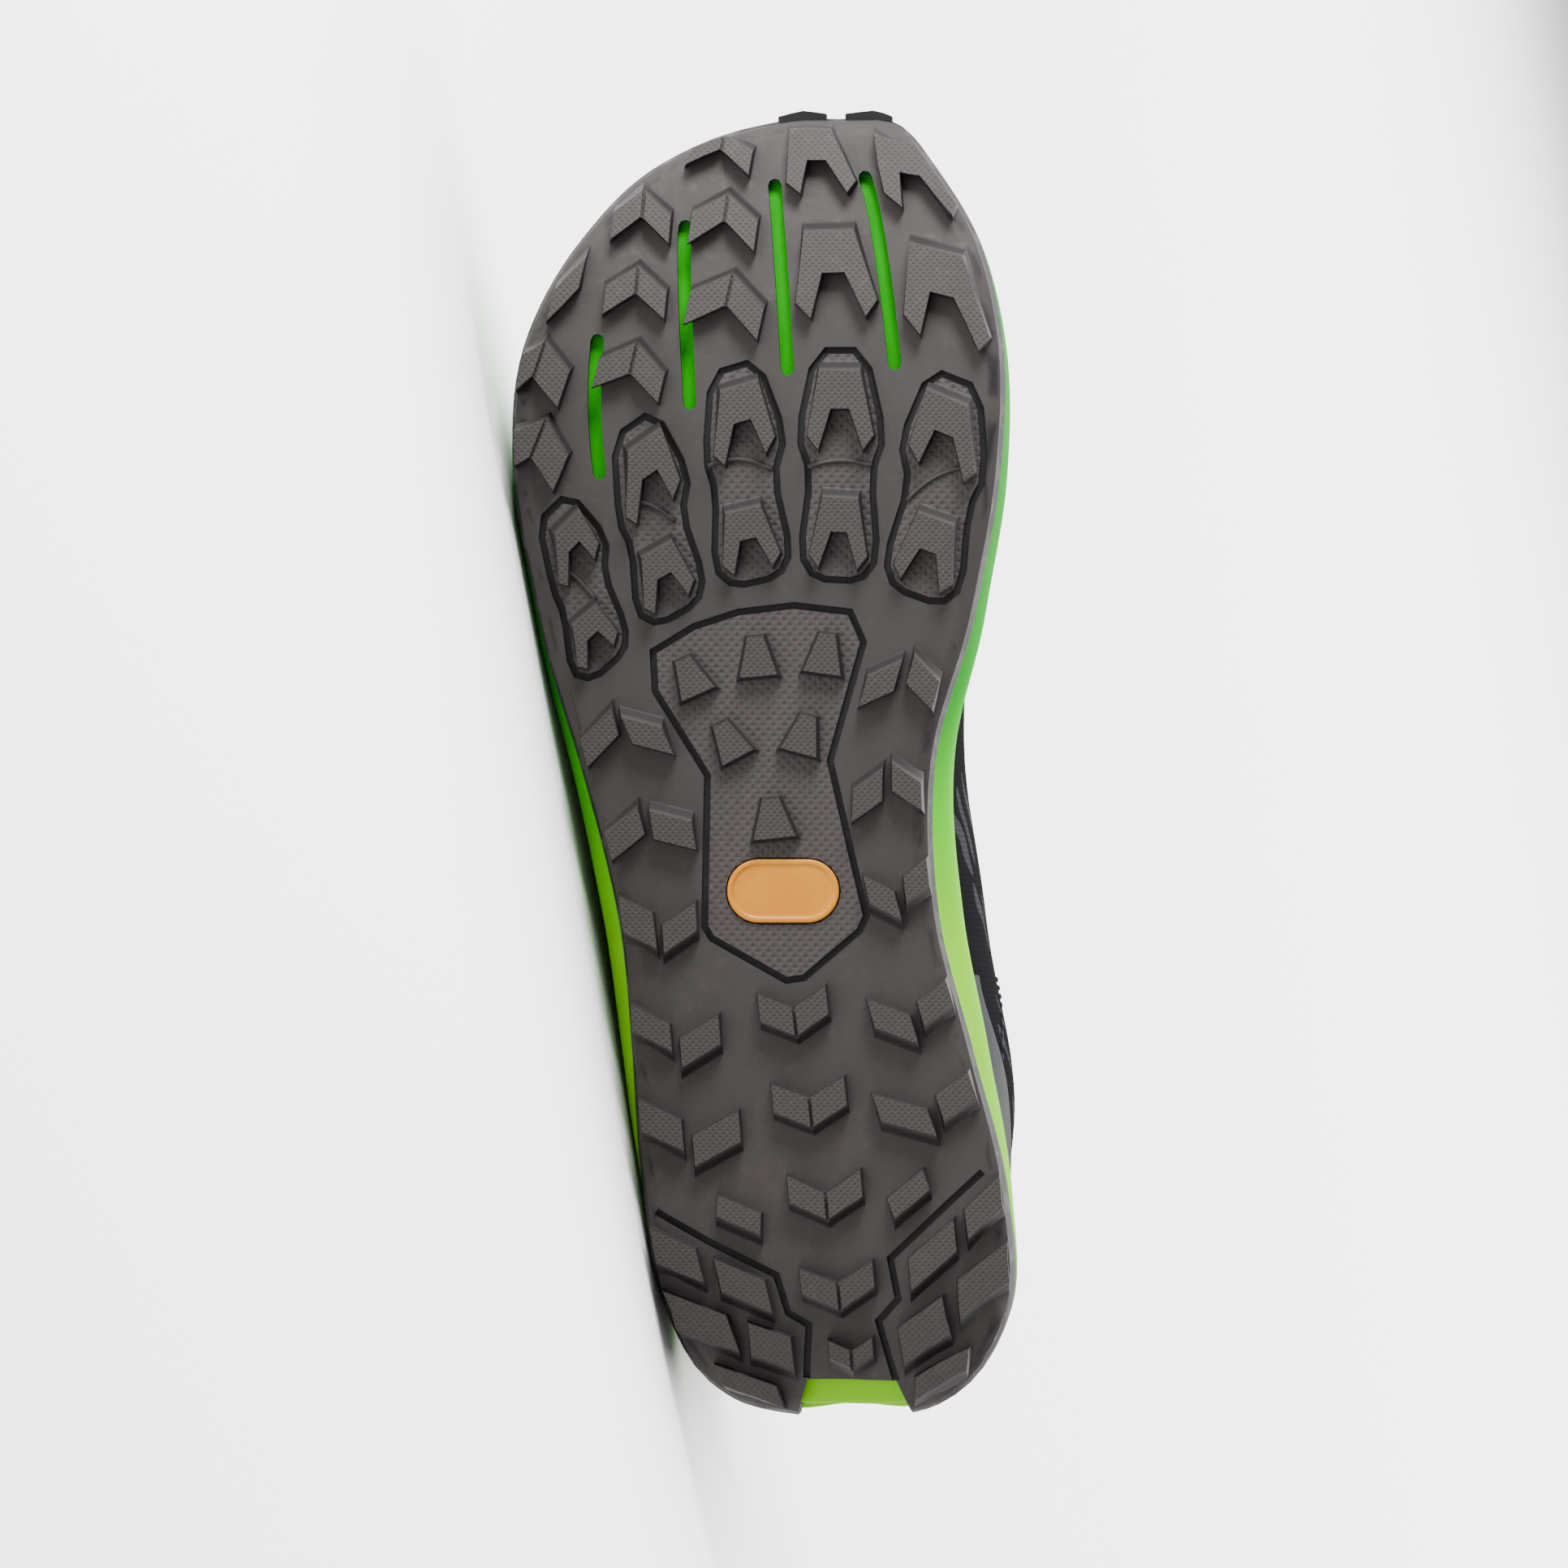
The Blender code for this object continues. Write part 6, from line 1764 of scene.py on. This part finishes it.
class TRAILSHOE_OT_midsole(bpy.types.Operator):
    """Adds the flared foam midsole and the insole"""

    bl_idname = "trail_shoe.midsole"
    bl_label = "Midsole and Insole"

    def execute(self, context):
        midsole_piece(midsole_foam(tuple(looks().foam_forefoot), tuple(looks().foam_heel)))
        insole_piece(lining_cloth("insole_cover", tone(15, 16, 18)))
        return {"FINISHED"}


class TRAILSHOE_OT_upper(bpy.types.Operator):
    """Adds the hollow mesh upper with its welded overlays, eyelets and seams"""

    bl_idname = "trail_shoe.upper"
    bl_label = "Upper"

    def execute(self, context):
        cloth = mesh_cloth(tuple(looks().cloth), tuple(looks().strokes))
        film = overlay_film("overlay_film", tuple(looks().film))
        shell = upper_piece(cloth, lining_cloth("lining_knit", tone(11, 11, 13)))
        punch = eyelet_punch()
        punched(shell, punch)
        overlay_piece("toe_cap_film", cap_columns(), cap_shares, 16, film, "toe_cap", passes=0)
        heel = round_the_heel(HEEL_STRIP_TO)
        overlay_piece("heel_strip", heel, band_shares, 12, film, "heel_counter", taper=0.10)
        for side, name in ((1, "medial"), (-1, "lateral")):
            beside = columns_between(EYESTAY_FROM, EYESTAY_END, side)
            stay = overlay_piece(
                "eyestay_film_" + name, beside, eyestay_shares, 9, film, "eyestay_" + name)
            punched(stay, punch)
        bpy.data.objects.remove(punch)
        thread = overlay_film("seam_thread", tone(34, 36, 39))
        grown("seams", path_mesh(stitch_paths()), bead_tree(), {
            "Pitch": looks().stitch_pitch, "Length": STITCH_LENGTH, "Radius": STITCH_RADIUS,
            "Surface": thread,
        })
        grown("eyelet_rings", eyelet_mesh(), ring_tree(), {
            "Ring Radius": EYELET_RING_RADIUS, "Bead Radius": EYELET_RING_THICKNESS / 2,
            "Surface": thread,
        })
        return {"FINISHED"}


class TRAILSHOE_OT_tongue_and_laces(bpy.types.Operator):
    """Adds the tongue, the laces through the eyelets and the pull loop"""

    bl_idname = "trail_shoe.tongue_and_laces"
    bl_label = "Tongue, Laces and Pull Loop"

    def execute(self, context):
        tongue_piece(mesh_cloth(tuple(looks().cloth), tuple(looks().strokes), 0.0, "tongue_mesh"))
        cord = woven_cord("lace_cord", tone(20, 20, 22), 0.0011)
        lace_pieces(cord, looks().lace_width, looks().lace_thickness)
        pull_loop_piece(woven_cord("loop_webbing", tone(16, 17, 19), 0.0014))
        return {"FINISHED"}


# Stage

# Photograph: its width and the row of the heel's end in pixels, and the length of a pixel on the sole
PHOTO_WIDTH = 1932
HEEL_END_PIXEL = 1747
METRES_PER_PIXEL = 0.000185644
VIEW_CENTRE_ACROSS = -0.003
VIEW_CENTRE_UP = 0.012
VIEW_DISTANCE = 2.4
SENSOR = 36.0

FLOOR_RADIUS = 14.0
FLOOR_SIDES = 96
WORLD_LIGHT = 0.35
# Lights on the shoe: places toward the toe, the medial side and below from the sole's middle
KEY_PLACE = (1.35, 0.25, -0.60)
KEY_SIZE = 0.6
FILL_PLACE = (0.0, 0.9, -2.1)
FILL_SIZE = 1.6
FILL_SHARE = 0.06
# Light over the floor: its size, and its place behind the shoe and above the floor
FLOOR_LIGHT_SIZE = 9.0
FLOOR_LIGHT_BEHIND = 4.14
FLOOR_LIGHT_HEIGHT = 3.6


def shoe_direction(toe, medial, up):
    return (ROW.to_3x3() @ Vector((toe, medial, up))).normalized()


def soft_light(name, place, size, power, target):
    """Square area light that faces a target."""
    data = bpy.data.lights.new(name, "AREA")
    data.size = size
    data.energy = power
    lamp = linked(name, data)
    lamp.location = place
    lamp.rotation_euler = (target - place).to_track_quat("-Z", "Y").to_euler()


def stage_lights(key_power, floor_power):
    middle = Vector((SOLE_LENGTH / 2, 0.0, 0.0))
    target = ROW @ middle
    soft_light("key_from_toe", ROW @ (middle + Vector(KEY_PLACE)), KEY_SIZE, key_power, target)
    fill = ROW @ (middle + Vector(FILL_PLACE))
    soft_light("front_fill", fill, FILL_SIZE, key_power * FILL_SHARE, target)
    over = Vector((0.0, FLOOR_LIGHT_BEHIND, FLOOR_LIGHT_HEIGHT))
    soft_light("over_floor", over, FLOOR_LIGHT_SIZE, floor_power, Vector((0.0, over.y, 0.0)))
    world = bpy.data.worlds.new("studio")
    world.use_nodes = True
    world.node_tree.nodes["Background"].inputs["Color"].default_value = (1.0, 1.0, 1.0, 1.0)
    world.node_tree.nodes["Background"].inputs["Strength"].default_value = WORLD_LIGHT
    bpy.context.scene.world = world


def floor_piece():
    """Wide white floor, round so that its far edge is as far from every side."""
    angles = [math.tau * step / FLOOR_SIDES for step in range(FLOOR_SIDES)]
    points = [(math.cos(angle) * FLOOR_RADIUS, math.sin(angle) * FLOOR_RADIUS, 0) for angle in angles]
    mesh = bpy.data.meshes.new("studio_floor")
    mesh.from_pydata(points, [], [tuple(range(FLOOR_SIDES))])
    mesh.materials.append(studio_paper(tone(250, 250, 250)))
    linked("studio_floor", mesh)


def camera_from_below(tilt):
    """Camera square to the sole, leaning to the medial side, with the toe up in its picture."""
    centre_along = (HEEL_END_PIXEL - PHOTO_WIDTH / 2) * METRES_PER_PIXEL
    aim = ROW @ Vector((centre_along, VIEW_CENTRE_ACROSS, VIEW_CENTRE_UP))
    back = shoe_direction(0.0, math.sin(tilt), -math.cos(tilt))
    toe = shoe_direction(1.0, 0.0, 0.0)
    right = toe.cross(back).normalized()
    data = bpy.data.cameras.new("photo_view")
    data.sensor_width = SENSOR
    data.lens = SENSOR * VIEW_DISTANCE / (PHOTO_WIDTH * METRES_PER_PIXEL)
    data.clip_start, data.clip_end = 0.05, 20.0
    camera = linked("photo_view", data)
    turn = Matrix((right, back.cross(right), back)).transposed()
    camera.matrix_world = Matrix.Translation(aim + back * VIEW_DISTANCE) @ turn.to_4x4()
    bpy.context.scene.camera = camera


class TRAILSHOE_OT_stage(bpy.types.Operator):
    """Adds the white floor, the soft lights and the camera"""

    bl_idname = "trail_shoe.stage"
    bl_label = "Stage"

    def execute(self, context):
        floor_piece()
        stage_lights(looks().key_light, looks().floor_light)
        camera_from_below(looks().view_tilt)
        return {"FINISHED"}


OPERATORS = (
    TRAILSHOE_OT_outsole, TRAILSHOE_OT_inlay, TRAILSHOE_OT_midsole, TRAILSHOE_OT_upper,
    TRAILSHOE_OT_tongue_and_laces, TRAILSHOE_OT_stage,
)


class TRAILSHOE_PT_panel(bpy.types.Panel):
    """Lists the shoe's looks and their values"""

    bl_label = "Trail Shoe"
    bl_idname = "TRAILSHOE_PT_panel"
    bl_space_type = "VIEW_3D"
    bl_region_type = "UI"
    bl_category = "Trail Shoe"

    def draw(self, context):
        values = context.scene.trail_shoe_looks
        for name in values.bl_rna.properties.keys():
            if name not in ("rna_type", "name"):
                self.layout.prop(values, name)
        for operator in OPERATORS:
            self.layout.operator(operator.bl_idname)


CLASSES = (TrailShoeLooks, *OPERATORS, TRAILSHOE_PT_panel)


def register():
    for item in CLASSES:
        bpy.utils.register_class(item)
    bpy.types.Scene.trail_shoe_looks = bpy.props.PointerProperty(type=TrailShoeLooks)


def unregister():
    del bpy.types.Scene.trail_shoe_looks
    for item in reversed(CLASSES):
        bpy.utils.unregister_class(item)


def main():
    register()
    bpy.ops.trail_shoe.outsole()
    bpy.ops.trail_shoe.inlay()
    bpy.ops.trail_shoe.midsole()
    bpy.ops.trail_shoe.upper()
    bpy.ops.trail_shoe.tongue_and_laces()
    bpy.ops.trail_shoe.stage()


if __name__ == "__main__":
    main()
